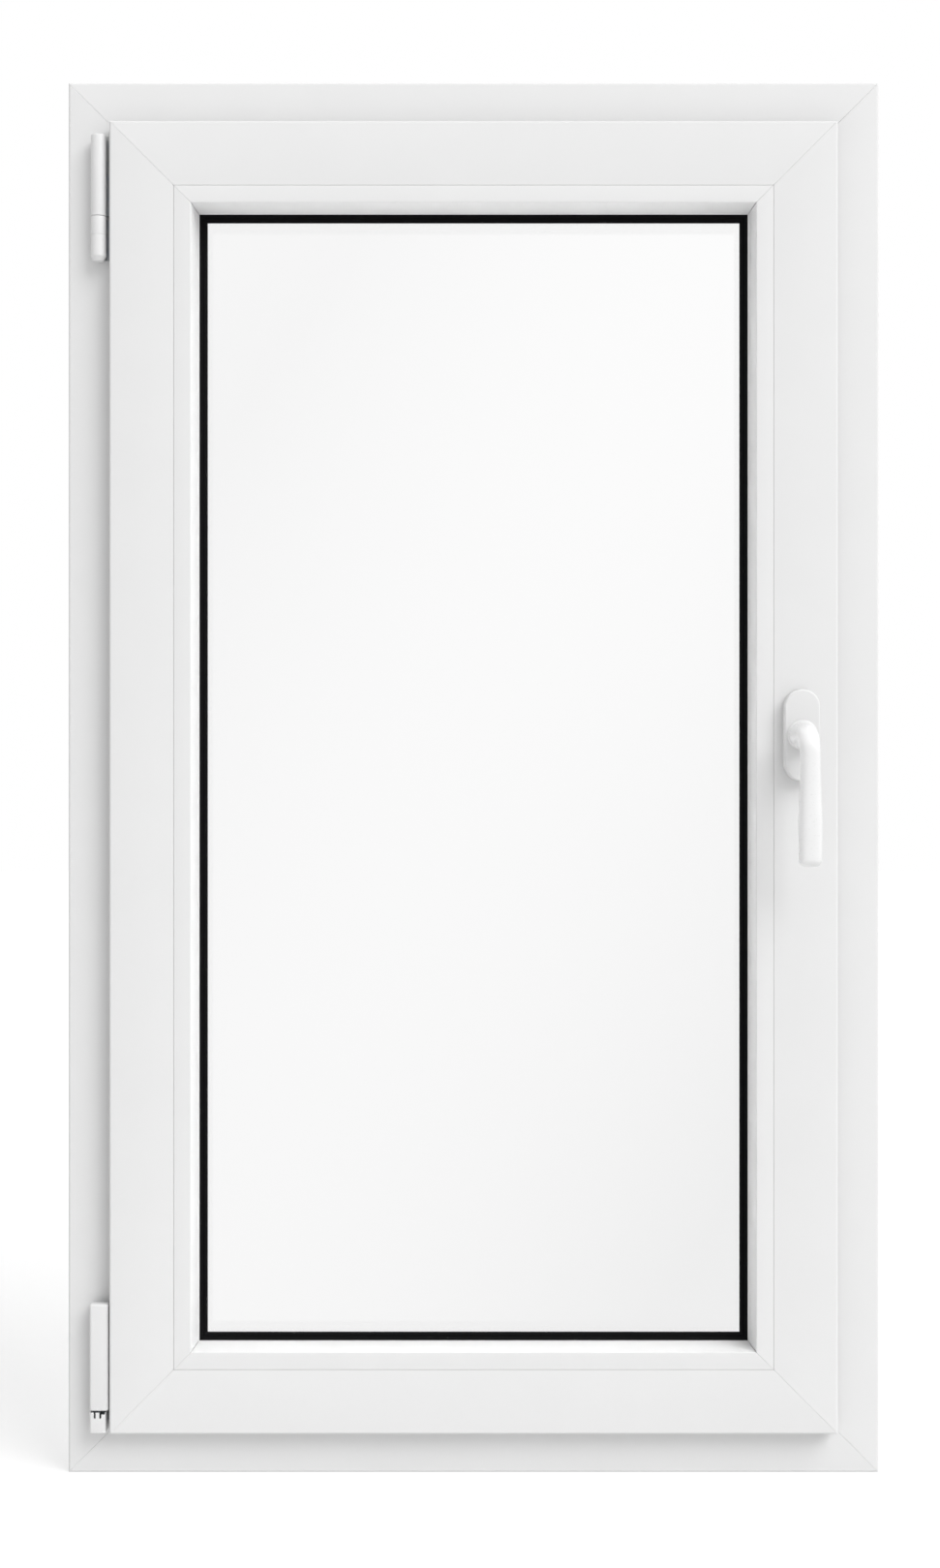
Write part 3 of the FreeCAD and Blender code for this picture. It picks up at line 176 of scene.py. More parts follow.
def rounded(corners, radii, steps=5):
    """The outline of a polygon with each corner replaced by an arc.

    The arc's centre lies on the corner's bisector, radius over the sine of the half angle away, and its
    points turn evenly from one tangent point to the other.
    """
    point = np.asarray(corners, dtype=float)
    radius = np.broadcast_to(np.asarray(radii, dtype=float), (len(point),))[:, None]
    before = np.roll(point, 1, axis=0) - point
    after = np.roll(point, -1, axis=0) - point
    before /= np.linalg.norm(before, axis=1, keepdims=True)
    after /= np.linalg.norm(after, axis=1, keepdims=True)
    half = np.arccos(np.clip((before * after).sum(axis=1, keepdims=True), -1, 1)) / 2
    bisector = before + after
    bisector /= np.linalg.norm(bisector, axis=1, keepdims=True)
    centre = point + bisector * radius / np.sin(half)
    start = point + before * radius / np.tan(half) - centre
    end = point + after * radius / np.tan(half) - centre
    turn = (np.pi - 2 * half)[:, :, None]
    t = np.linspace(0, 1, steps)[None, :, None]
    arcs = (np.sin((1 - t) * turn) * start[:, None] + np.sin(t * turn) * end[:, None]) / np.sin(turn)
    return (centre[:, None] + arcs).reshape(-1, 2)


def turned_left(outline):
    """The outline in anticlockwise order, by the sign of its area."""
    x, y = outline.T
    area = np.sum(x * np.roll(y, -1) - np.roll(x, -1) * y)
    return outline if area > 0 else outline[::-1]


def inset(outline, depth):
    """Each point of an anticlockwise outline moved inwards along the mean normal of its two sides."""
    side = np.roll(outline, -1, axis=0) - outline
    side /= np.maximum(np.linalg.norm(side, axis=1, keepdims=True), 1e-12)
    normal = np.stack([-side[:, 1], side[:, 0]], axis=1)
    mean = normal + np.roll(normal, 1, axis=0)
    return outline + depth * mean / np.maximum(np.linalg.norm(mean, axis=1, keepdims=True), 0.5)


SIDES = {
    "hinge": lambda u, y, w, out, low, high: (u - out, y, w + (low + high) / 2),
    "lock": lambda u, y, w, out, low, high: (out - u, y, (low + high) / 2 - w),
    "top": lambda u, y, w, out, low, high: (w, y, high - u),
    "bottom": lambda u, y, w, out, low, high: (-w, y, low + u),
}


def mitred_bar(name, side, outline, limits, weld):
    """One side of a mitred rectangle.

    A point of the outline at distance u in from the edge runs to half the length minus u at both ends,
    so the ends are planes at 45 degrees. The end rings are drawn in a little, which leaves a fine groove
    where two bars are welded.
    """
    out, low, high = limits
    half = (high - low) / 2 if side in ("hinge", "lock") else out
    outline = turned_left(outline)
    drawn_in = inset(outline, weld)
    steps = ((drawn_in, -1, 0), (outline, -1, weld), (outline, 1, weld), (drawn_in, 1, 0))
    rings = []
    for shape, sign, back in steps:
        u, y = shape.T
        w = sign * (half - outline[:, 0] - back)
        place = SIDES[side](u, y, w, out, low, high)
        rings.append(np.stack(np.broadcast_arrays(*place), axis=-1))
    return skin(name, rings)


def ring_piece(name, outline, limits):
    """An outline of (distance in from a rectangle's edge, depth) carried round the rectangle."""
    out, low, high = limits
    outline = turned_left(outline)
    u, y = outline.T
    corners = ((-1, 0), (1, 0), (1, 1), (-1, 1))
    rings = [
        np.stack([sx * (out - u), y, high - u if up else low + u], axis=-1) for sx, up in corners
    ]
    return skin(name, np.array(rings)[::-1], closed_rings=True)


def lathe(name, outline, x, y, count=64):
    """A closed outline of (radius, height) swung round an upright axis at x, y."""
    outline = turned_left(np.asarray(outline, dtype=float))
    angle = np.linspace(0, 2 * np.pi, count, endpoint=False)[:, None]
    radius, height = outline[None, :, 0], outline[None, :, 1]
    rings = np.stack(
        [x + radius * np.cos(angle), y + radius * np.sin(angle), height + 0 * angle], axis=-1
    )
    return skin(name, rings[::-1], closed_rings=True)


def smooth(piece, angle=30):
    """Shade smooth, with edges sharper than the angle left crisp."""
    mesh = piece.data
    mesh.polygons.foreach_set("use_smooth", np.ones(len(mesh.polygons), dtype=bool))
    mesh.set_sharp_from_angle(angle=math.radians(angle))
    mesh.update()
    return piece


def carve(piece, *cutters):
    """Cut other pieces out of this one and throw them away."""
    for cutter in cutters:
        modifier = piece.modifiers.new("Cut", "BOOLEAN")
        modifier.operation = "DIFFERENCE"
        modifier.solver = "EXACT"
        modifier.object = cutter
    bpy.context.view_layer.update()
    carved = piece.evaluated_get(bpy.context.evaluated_depsgraph_get())
    mesh = bpy.data.meshes.new_from_object(carved)
    if not mesh.polygons:
        raise ValueError(f"cutting left nothing of {piece.name}")
    mesh.name = piece.name
    piece.modifiers.clear()
    old = piece.data
    piece.data = mesh
    bpy.data.meshes.remove(old)
    for cutter in cutters:
        bpy.data.meshes.remove(cutter.data)
    return piece


def block(name, low, high):
    """A box between two corners, used to cut."""
    (x0, y0, z0), (x1, y1, z1) = low, high
    base = np.array([[x0, y0], [x1, y0], [x1, y1], [x0, y1]])
    rings = [np.column_stack([base, np.full(4, z)]) for z in (z0, z1)]
    return skin(name, rings)


def rod(name, start, end, radius, count=24):
    """A round bar between two points, used to cut."""
    start, end = np.array(start, dtype=float), np.array(end, dtype=float)
    along = (end - start) / np.linalg.norm(end - start)
    side = np.cross(along, [0.3, 0.5, 0.81])
    side /= np.linalg.norm(side)
    other = np.cross(along, side)
    angle = np.linspace(0, 2 * np.pi, count, endpoint=False)[:, None]
    circle = radius * (np.cos(angle) * side + np.sin(angle) * other)
    return skin(name, [start + circle, end + circle])


def show(piece, body, slot, node):
    """Finish a piece: its slot's material, the body it rides on, and the CAD node that it stands for."""
    piece.data.materials.clear()
    piece.data.materials.append(finishes()[slot])
    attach(piece, body)
    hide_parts(node)


# ---- materials ----


def new_material(name):
    """An empty node material and its Principled shader."""
    material = bpy.data.materials.new(name)
    material.use_nodes = True
    shader = material.node_tree.nodes["Principled BSDF"]
    return material, shader


def add_node(material, kind, settings=(), links=()):
    """Add a node, set its properties or inputs, and link its inputs from other nodes' outputs."""
    node = material.node_tree.nodes.new(kind)
    for name, value in dict(settings).items():
        if isinstance(name, int) or name in node.inputs:
            node.inputs[name].default_value = value
        else:
            setattr(node, name, value)
    for name, source in dict(links).items():
        material.node_tree.links.new(source, node.inputs[name])
    return node


def arithmetic(material, operation, settings, links):
    """The result of a maths node, its settings and links given by input number."""
    settings = {"operation": operation, **settings}
    return add_node(material, "ShaderNodeMath", settings, links).outputs[0]


def blend(material, settings, links):
    """The result of a mix node, which goes from input 2 to input 3 as input 0 goes from none to one."""
    settings = {"data_type": "FLOAT", **settings}
    return add_node(material, "ShaderNodeMix", settings, links).outputs[0]


def noise(material, size_mm, detail=3, stretch=(1, 1, 1)):
    """Noise whose features are about size_mm across, in object coordinates."""
    place = add_node(material, "ShaderNodeTexCoord")
    scaled = add_node(
        material, "ShaderNodeMapping", {"Scale": stretch}, {"Vector": place.outputs["Object"]}
    )
    return add_node(
        material,
        "ShaderNodeTexNoise",
        {"Scale": 1 / (size_mm * MM), "Detail": detail},
        {"Vector": scaled.outputs["Vector"]},
    )


def vary(material, source, low, high, socket):
    """Spread a 0.3 to 0.7 signal over a range and put it into a shader socket."""
    spread = add_node(
        material,
        "ShaderNodeMapRange",
        {"From Min": 0.3, "From Max": 0.7, "To Min": low, "To Max": high},
        {"Value": source},
    )
    material.node_tree.links.new(spread.outputs["Result"], socket)


def tint(material, source, dark, light, shader):
    """Blend two colours by a signal and use the blend as the base colour."""
    ramp = add_node(material, "ShaderNodeValToRGB", (), {"Fac": source})
    ramp.color_ramp.elements[0].position = 0.35
    ramp.color_ramp.elements[0].color = (*dark, 1)
    ramp.color_ramp.elements[1].position = 0.65
    ramp.color_ramp.elements[1].color = (*light, 1)
    material.node_tree.links.new(ramp.outputs["Color"], shader.inputs["Base Color"])


def relief(material, source, depth_mm, strength, shader):
    """Raise the surface by a signal."""
    bump = add_node(
        material,
        "ShaderNodeBump",
        {"Distance": depth_mm * MM, "Strength": strength},
        {"Height": source},
    )
    material.node_tree.links.new(bump.outputs["Normal"], shader.inputs["Normal"])


def shaded(base, factor):
    """A colour made a little darker or lighter."""
    return tuple(min(1.0, c * factor) for c in base)


def plastic(name, base, roughness, grain_mm, depth_mm):
    """A white plastic: its sheen comes from a smooth skin with a faint grain, so highlights are soft."""
    material, shader = new_material(name)
    shader.inputs["IOR"].default_value = 1.53
    shader.inputs["Specular IOR Level"].default_value = 0.4
    clouds = noise(material, 60, 2)
    tint(material, clouds.outputs["Fac"], shaded(base, 0.994), shaded(base, 1.004), shader)
    grain = noise(material, grain_mm, 4)
    dull, gloss = roughness + 0.06, roughness - 0.05
    vary(material, grain.outputs["Fac"], gloss, dull, shader.inputs["Roughness"])
    relief(material, grain.outputs["Fac"], depth_mm, 0.25, shader)
    return material


def rigid_pvc(base):
    """White rigid PVC, extruded through a polished die and wiped down: even, satin, faintly wavy."""
    return plastic("White_rigid_PVC_extruded", base, roughness=0.45, grain_mm=2.5, depth_mm=0.015)


def moulded_cover(base):
    """White acetal, injection moulded against a fine spark-eroded tool: softer sheen and a fine grain."""
    return plastic("White_acetal_moulded", base, roughness=0.42, grain_mm=0.9, depth_mm=0.03)


def powder_coat(base):
    """White powder coat on cast aluminium, baked: glossy skin with a slight orange peel of 1.5 mm."""
    material, shader = new_material("White_powder_coat_baked")
    shader.inputs["IOR"].default_value = 1.5
    shader.inputs["Coat Weight"].default_value = 0.35
    shader.inputs["Coat Roughness"].default_value = 0.12
    peel = noise(material, 1.5, 2)
    tint(material, noise(material, 30, 2).outputs["Fac"], shaded(base, 0.99), base, shader)
    vary(material, peel.outputs["Fac"], 0.26, 0.36, shader.inputs["Roughness"])
    relief(material, peel.outputs["Fac"], 0.03, 0.3, shader)
    return material


def seal_rubber(base):
    """Black EPDM, extruded: matt, with fine draw lines and a little grey bloom."""
    material, shader = new_material("Black_EPDM_extruded")
    shader.inputs["IOR"].default_value = 1.52
    shader.inputs["Specular IOR Level"].default_value = 0.12
    bloom = noise(material, 9, 5)
    tint(material, bloom.outputs["Fac"], shaded(base, 0.9), shaded(base, 1.3), shader)
    grain = noise(material, 0.5, 3)
    vary(material, grain.outputs["Fac"], 0.42, 0.6, shader.inputs["Roughness"])
    relief(material, grain.outputs["Fac"], 0.04, 0.4, shader)
    return material


def float_glass(tone):
    """Clear float glass, fire polished: sharp reflections, barely dulled in places by a thin film."""
    material, shader = new_material("Clear_float_glass")
    shader.inputs["Base Color"].default_value = (*tone, 1)
    shader.inputs["IOR"].default_value = 1.52
    shader.inputs["Transmission Weight"].default_value = 1.0
    film = noise(material, 140, 3)
    vary(material, film.outputs["Fac"], 0.0, 0.012, shader.inputs["Roughness"])
    return material


def zinc_plate(name, base, roughness, cell_mm):
    """A plated or bare metal: dull silver with passivated patches and faint rolling lines."""
    material, shader = new_material(name)
    shader.inputs["Metallic"].default_value = 1.0
    patches = noise(material, cell_mm, 4)
    cool = (base[0] * 0.86, base[1] * 0.9, base[2] * 0.96)
    warm = (base[0], base[1] * 0.985, base[2] * 0.94)
    tint(material, patches.outputs["Fac"], cool, warm, shader)
    lines = noise(material, 1.2, 3, (1, 1, 0.06))
    dull, gloss = roughness + 0.12, roughness - 0.08
    vary(material, lines.outputs["Fac"], gloss, dull, shader.inputs["Roughness"])
    relief(material, lines.outputs["Fac"], 0.02, 0.35, shader)
    return material


def glass_nylon(base):
    """Glass filled nylon, moulded: dull grey with fibre streaks."""
    material, shader = new_material("Grey_glass_filled_nylon")
    shader.inputs["IOR"].default_value = 1.53
    fibres = noise(material, 0.8, 5, (1, 0.25, 1))
    tint(material, fibres.outputs["Fac"], shaded(base, 0.75), shaded(base, 1.15), shader)
    vary(material, fibres.outputs["Fac"], 0.5, 0.68, shader.inputs["Roughness"])
    relief(material, fibres.outputs["Fac"], 0.03, 0.4, shader)
    return material


def studio_floor(base):
    """Matt white acrylic, lit from below: the pale floor keeps only a faint shadow at the foot."""
    material, shader = new_material("Matt_white_backlit_acrylic")
    tint(material, noise(material, 400, 3).outputs["Fac"], shaded(base, 0.995), base, shader)
    shader.inputs["Roughness"].default_value = 0.9
    shader.inputs["Specular IOR Level"].default_value = 0.2
    shader.inputs["Emission Color"].default_value = (1, 1, 1, 1)
    shader.inputs["Emission Strength"].default_value = 0.6
    return material


# the finishes, once they are made
STORE = {}


def finishes():
    """Every finish once, by the record's slot name."""
    colours = bpy.context.scene.finish_settings
    if "finishes" not in STORE:
        zinc = tuple(colours.zinc)
        STORE["finishes"] = {
            "white_profile": rigid_pvc(tuple(colours.profile)),
            "white_cover": moulded_cover(tuple(colours.cover)),
            "white_lacquer": powder_coat(tuple(colours.lacquer)),
            "black_seal": seal_rubber(tuple(colours.seal)),
            "glass": float_glass(tuple(colours.glass)),
            "zinc_steel": zinc_plate("Zinc_plated_steel_pressed", zinc, roughness=0.34, cell_mm=7),
            "bright_steel": zinc_plate("Bright_steel_turned", shaded(zinc, 1.15), roughness=0.24, cell_mm=3),
            "spacer": zinc_plate("Mill_aluminium_rolled", shaded(zinc, 1.1), roughness=0.4, cell_mm=12),
            "grey_nylon": glass_nylon(linear("#6E7072")),
            "sealant": seal_rubber(linear("#151515")),
        }
        STORE["finishes"]["sealant"].name = "Black_polysulphide_troweled"
    return STORE["finishes"]


# ---- places worked out from the frame ----


def spans(node):
    """A node's lowest and highest corner as arrays, in metres."""
    low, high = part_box(node)
    return np.array(low), np.array(high)


def frame_limits():
    """Half width, bottom and top of the fixed frame."""
    low, high = spans("frame_jamb_hinge_side")
    return -low[0], low[2], high[2]


def sash_limits():
    """Half width, bottom and top of the sash."""
    low, high = spans("sash_stile_hinge_side")
    return -low[0], low[2], high[2]


def hinge_axis():
    """X and Y of the upright hinge axis, from the bearing pin."""
    low, high = spans("stay_bearing_pin")
    return tuple((low[:2] + high[:2]) / 2)


def handle_axis():
    """X and Z of the handle axis, from the spindle."""
    low, high = spans("handle_spindle")
    middle = (low + high) / 2
    return middle[0], middle[2]


def bar_name(node):
    """The name of the piece that stands for a bar's node."""
    return node.replace("_side", "") + "_bar"


# ---- operators ----


class WINDOW_OT_frame_bars(bpy.types.Operator):
    """Jambs, head and sill of the fixed frame"""

    bl_idname = "window.frame_bars"
    bl_label = "Frame bars"
    bl_options = {"REGISTER", "UNDO"}

    def execute(self, context):
        """The frame's outline, rounded and mitred on four sides, then the fixing holes and slots."""
        sizes = context.scene.profile_settings
        low, high = spans("frame_jamb_hinge_side")
        front, back, stop = low[1], high[1], high[0] - low[0]
        lip = back - sizes.frame_lip
        edge = sizes.edge
        corners = [
            (0, front + edge),
            (edge, front),
            (sizes.frame_face, front),
            (sizes.frame_face, lip),
            (stop, lip),
            (stop, back),
            (0, back),
        ]
        chamfer, broad = 0.4 * edge, 1.6 * edge
        outline = rounded(corners, [chamfer, chamfer, edge, edge, broad, broad, edge])
        for side, node in (
            ("hinge", "frame_jamb_hinge_side"),
            ("lock", "frame_jamb_lock_side"),
            ("top", "frame_head"),
            ("bottom", "frame_sill"),
        ):
            piece = mitred_bar(bar_name(node), side, outline, frame_limits(), sizes.weld)
            if side == "bottom":
                carve(piece, *self.drainage_slots())
            elif side != "top":
                carve(piece, *self.fixing_holes(side, stop))
            show(smooth(piece), "frame", "white_profile", node)
        return {"FINISHED"}

    def fixing_holes(self, side, stop):
        """A round bar through the jamb at each place that the record's mounts give."""
        mounts = [m for m in frame["record"]["mounts"] if m["name"].startswith(f"jamb_fixings_{side}")]
        x, y, _ = mounts[0]["pos_m"]
        radius = mounts[0]["dims"]["hole_r_mm"] * MM
        heights = set()
        for mount in mounts:
            half = mount["dims"]["spacing_y_mm"] * MM / 2
            heights |= {round(mount["pos_m"][2] + way * half, 6) for way in (-1, 1)}
        outer, inner = x * 1.01, x - math.copysign(stop, x)
        return [rod("cutter", (outer, y, z), (inner, y, z), radius) for z in sorted(heights)]

    def drainage_slots(self):
        """A long flat box into the sill behind each drainage cap."""
        width, depth, aside = 30 * MM, 6 * MM, 6 * MM
        below, above = 2.5 * MM, 2 * MM
        low, high = spans("drainage_caps")
        middle = (low[2] + high[2]) / 2
        slots = []
        for x in (low[0] + aside, high[0] - aside - width):
            start = (x, low[1] - depth, middle - below)
            end = (x + width, low[1] + MM, middle + above)
            slots.append(block("cutter", start, end))
        return slots


class WINDOW_OT_sash_bars(bpy.types.Operator):
    """Stiles and rails of the sash"""

    bl_idname = "window.sash_bars"
    bl_label = "Sash bars"
    bl_options = {"REGISTER", "UNDO"}

    def execute(self, context):
        """The sash outline with its hardware groove, mitred; the lock stile is routed for the gearbox.

        The weather side of the glazing lip slopes back, so that rain runs off it.
        """
        sizes = context.scene.profile_settings
        play, fine = 0.2 * MM, 0.2 * MM
        low, high = spans("sash_stile_hinge_side")
        front, back, top = low[1], high[1], high[0] - low[0]
        plate_low, plate_high = spans("lock_faceplate")
        seat = sash_limits()[0] - plate_low[0]
        room, weather = plate_low[1] - play, plate_high[1] + play
        case_low, case_high = spans("gearbox_case")
        groove = (case_low[1] - play, case_high[1] + play)
        groove_floor = seat + 13 * MM
        overlap_back = spans("overlap_gasket")[0][1]
        stop = spans("glazing_gasket_weather")[1][1]
        lip_start, lip_end = top - 0.4 * MM, top - 5 * MM
        overlap, line, edge = sizes.overlap, sizes.bead_line, sizes.edge
        corners = [
            (0, front + edge),
            (edge, front),
            (line, front),
            (line, stop),
            (lip_start, stop),
            (lip_end, back),
            (overlap, back),
            (overlap, weather),
            (seat, weather),
            (seat, groove[1]),
            (groove_floor, groove[1]),
            (groove_floor, groove[0]),
            (seat, groove[0]),
            (seat, room),
            (overlap, room),
            (overlap, overlap_back),
            (0, overlap_back),
        ]
        radii = np.full(len(corners), fine)
        radii[[0, 1]] = 0.4 * edge
        radii[[4, 5, 6]] = 1.2 * edge
        radii[-1] = edge
        outline = rounded(corners, radii)
        for side, node in (
            ("hinge", "sash_stile_hinge_side"),
            ("lock", "sash_stile_lock_side"),
            ("top", "sash_top_rail"),
            ("bottom", "sash_bottom_rail"),
        ):
            piece = mitred_bar(bar_name(node), side, outline, sash_limits(), sizes.weld)
            if side == "lock":
                carve(piece, *self.gearbox_room(front, groove))
            show(smooth(piece), "sash", "white_profile", node)
        return {"FINISHED"}

    def gearbox_room(self, front, groove):
        """A pocket round the gearbox case, and a round hole for the spindle from the room side."""
        spindle_hole, into_case = 6.5 * MM, 3 * MM
        low, high = spans("gearbox_case")
        start = (low[0] - MM, groove[0], low[2] - MM)
        end = (high[0] + 2 * MM, groove[1], high[2] + MM)
        x, z = handle_axis()
        hole = rod("cutter", (x, front - MM, z), (x, low[1] + into_case, z), spindle_hole)
        return block("cutter", start, end), hole


class WINDOW_OT_glazing_beads(bpy.types.Operator):
    """Beads that hold the glass"""

    bl_idname = "window.glazing_beads"
    bl_label = "Glazing beads"
    bl_options = {"REGISTER", "UNDO"}

    def execute(self, context):
        """A flat face, a rounded shoulder and a slope down to the seal, mitred on four sides."""
        sizes = context.scene.profile_settings
        low, high = spans("glazing_bead_left")
        front, back, foot = low[1], high[1], high[0] - low[0]
        gap, lip = 0.2 * MM, 0.9 * MM
        corners = [
            (gap, front),
            (sizes.bead_flat, front),
            (foot - lip, back - lip),
            (foot, back - lip),
            (foot, back),
            (gap, back),
        ]
        radii = np.array([0.3, 1.1, 0.15, 0.2, 0.15, 0.2]) * MM
        outline = rounded(corners, radii, steps=7)
        limits = (-low[0], low[2], high[2])
        for side, name in (("hinge", "left"), ("lock", "right"), ("top", "top"), ("bottom", "bottom")):
            piece = mitred_bar(f"bead_{name}", side, outline, limits, sizes.weld)
            show(smooth(piece), "sash", "white_profile", f"glazing_bead_{name}")
        return {"FINISHED"}


class WINDOW_OT_seals(bpy.types.Operator):
    """Rubber seals of glass, frame and overlap"""

    bl_idname = "window.seals"
    bl_label = "Seals"
    bl_options = {"REGISTER", "UNDO"}

    def execute(self, context):
        """Outlines of (distance in from the outer edge, depth), carried round the glass or the frame.

        The room seal has two ribs with a groove between, the weather seal a blunt nose, and the frame's
        seal a curved lip.
        """
        low, high = spans("glazing_gasket_room")
        glass = (-low[0], low[2], high[2])
        # distance in, and height above the seal's back, in millimetres
        ribs = [(11.4, 2.5), (14.4, 2.4), (14.8, 1.5), (15.3, 1.5), (15.7, 2.1), (17.9, 1.6), (18.5, 0)]
        corners = [(0, low[1]), (10.6 * MM, low[1])]
        corners += [(u * MM, high[1] - rise * MM) for u, rise in ribs]
        corners.append((0, high[1]))
        self.seal("room_glazing_seal", corners, 0.16 * MM, glass, "sash", "glazing_gasket_room")

        low, high = spans("glazing_gasket_weather")
        wide = 12.4 * MM
        corners = [
            (0, low[1]),
            (wide, low[1]),
            (wide - 0.3 * MM, low[1] + 0.9 * MM),
            (wide - 1.1 * MM, high[1] - 0.3 * MM),
            (wide - 1.5 * MM, high[1]),
            (0, high[1]),
        ]
        self.seal("weather_glazing_seal", corners, 0.2 * MM, glass, "sash", "glazing_gasket_weather")

        low, high = spans("frame_weather_gasket")
        stop = (-low[0], low[2], high[2])
        # distance in, and depth behind the lip's front, in millimetres
        lip = [(0.3, 1.6), (1.8, 0), (4.4, 0.5), (5.2, 1.9), (4.2, 1.8)]
        corners = [(0, high[1])]
        corners += [(u * MM, low[1] + drop * MM) for u, drop in lip]
        corners.append((3.6 * MM, high[1]))
        self.seal("frame_weather_seal", corners, 0.22 * MM, stop, "frame", "frame_weather_gasket")
        return {"FINISHED"}

    def seal(self, name, corners, radius, limits, body, node):
        """One seal, its corners rounded with a few points."""
        piece = ring_piece(name, rounded(corners, radius, steps=3), limits)
        show(smooth(piece), body, "black_seal", node)


class WINDOW_OT_hinges(bpy.types.Operator):
    """Covers of the upper and lower hinge"""

    bl_idname = "window.hinges"
    bl_label = "Hinge covers"
    bl_options = {"REGISTER", "UNDO"}

    def execute(self, context):
        """Upper covers are turned shells, the lower cover and cap are rounded boxes."""
        x, y = hinge_axis()
        self.upper(x, y)
        self.lower(x, y)
        return {"FINISHED"}

    def upper(self, x, y):
        """A long shell closed at its top, and below it a shell with a fine groove and a coned foot."""
        radius, wall = 6.7 * MM, 1.2 * MM
        low, high = spans("stay_arm_cover")
        top, bottom = high[2], low[2]
        corners = [
            (0, top),
            (radius, top),
            (radius, bottom),
            (radius - wall, bottom),
            (radius - wall, top - wall),
            (0, top - wall),
        ]
        piece = self.turned_shell("upper_hinge_cover", corners, [0.01, 1.9, 0.3, 0.2, 0.3, 0.01], x, y)
        show(piece, "stay_arm", "white_cover", "stay_arm_cover")

        low, high = spans("stay_bearing_cap")
        top, bottom = high[2], low[2]
        line, groove = top - 15.9 * MM, 0.3 * MM
        cone, cone_rise, inner_rise = 2.2 * MM, 4.2 * MM, 5 * MM
        corners = [
            (0, bottom),
            (radius - cone, bottom),
            (radius, bottom + cone_rise),
            (radius, line - groove),
            (radius - groove, line),
            (radius, line + groove),
            (radius, top),
            (radius - wall, top),
            (radius - wall, bottom + inner_rise),
            (radius - wall - cone, bottom + wall),
            (0, bottom + wall),
        ]
        radii = [0.01, 0.6, 0.8, 0.04, 0.04, 0.04, 0.3, 0.2, 0.3, 0.3, 0.01]
        piece = self.turned_shell("upper_hinge_bearing_cover", corners, radii, x, y)
        show(piece, "frame", "white_cover", "stay_bearing_cap")

    def turned_shell(self, name, corners, radii_mm, x, y):
        """An outline of (radius, height) swung round the hinge axis, kept just clear of the axis itself."""
        axis_gap = 0.01 * MM
        outline = rounded(corners, np.array(radii_mm) * MM, steps=6)
        return smooth(lathe(name, np.maximum(outline, [axis_gap, 0]), x, y))

    def lower(self, x, y):
        """A long flat fronted cover above, and below it a short cap with two slots and a step."""
        low, high = spans("corner_hinge_cover")
        piece = self.box_shell("lower_hinge_cover", low, high, 2.2 * MM, 1.6 * MM)
        show(piece, "sash", "white_cover", "corner_hinge_cover")

        low, high = spans("corner_bearing_cap")
        front, past, above = low[1] - MM, y - 5 * MM, high[2] + MM
        slot_foot, step_foot, floor = high[2] - 5 * MM, high[2] - 1.6 * MM, low[2] + 0.8 * MM
        half, inner_front = 6.25 * MM, y - 6.1 * MM
        piece = self.box_shell(
            "lower_bearing_cap",
            low,
            high,
            2.0 * MM,
            0.7 * MM,
            block("cutter", (x - half, inner_front, floor), (x + half, high[1] + MM, above)),
            block("cutter", (x - 3.2 * MM, front, slot_foot), (x - 1.5 * MM, past, above)),
            block("cutter", (x + 1.6 * MM, front, slot_foot), (x + 3.3 * MM, past, above)),
            block("cutter", (x + 3.0 * MM, front, step_foot), (high[0] + MM, past, above)),
        )
        show(piece, "frame", "white_cover", "corner_bearing_cap")

    def box_shell(self, name, low, high, radius, shoulder, *cutters):
        """A box with rounded front corners, drawn in over its shoulder at both ends by a quarter circle."""
        corners = [(low[0], low[1]), (high[0], low[1]), (high[0], high[1]), (low[0], high[1])]
        back = shoulder + 0.3 * MM
        outline = turned_left(rounded(corners, [radius, radius, back, back], steps=7))
        turn = np.linspace(0, np.pi / 2, 6)
        rise, draw = shoulder * (1 - np.sin(turn)), shoulder * (1 - np.cos(turn))
        heights = np.concatenate([(low[2] + rise)[::-1], high[2] - rise])
        insets = np.concatenate([draw[::-1], draw])
        rings = [
            np.column_stack([inset(outline, depth), np.full(len(outline), height)])
            for depth, height in zip(insets, heights)
        ]
        piece = skin(name, rings)
        if cutters:
            carve(piece, *cutters)
        return smooth(piece)


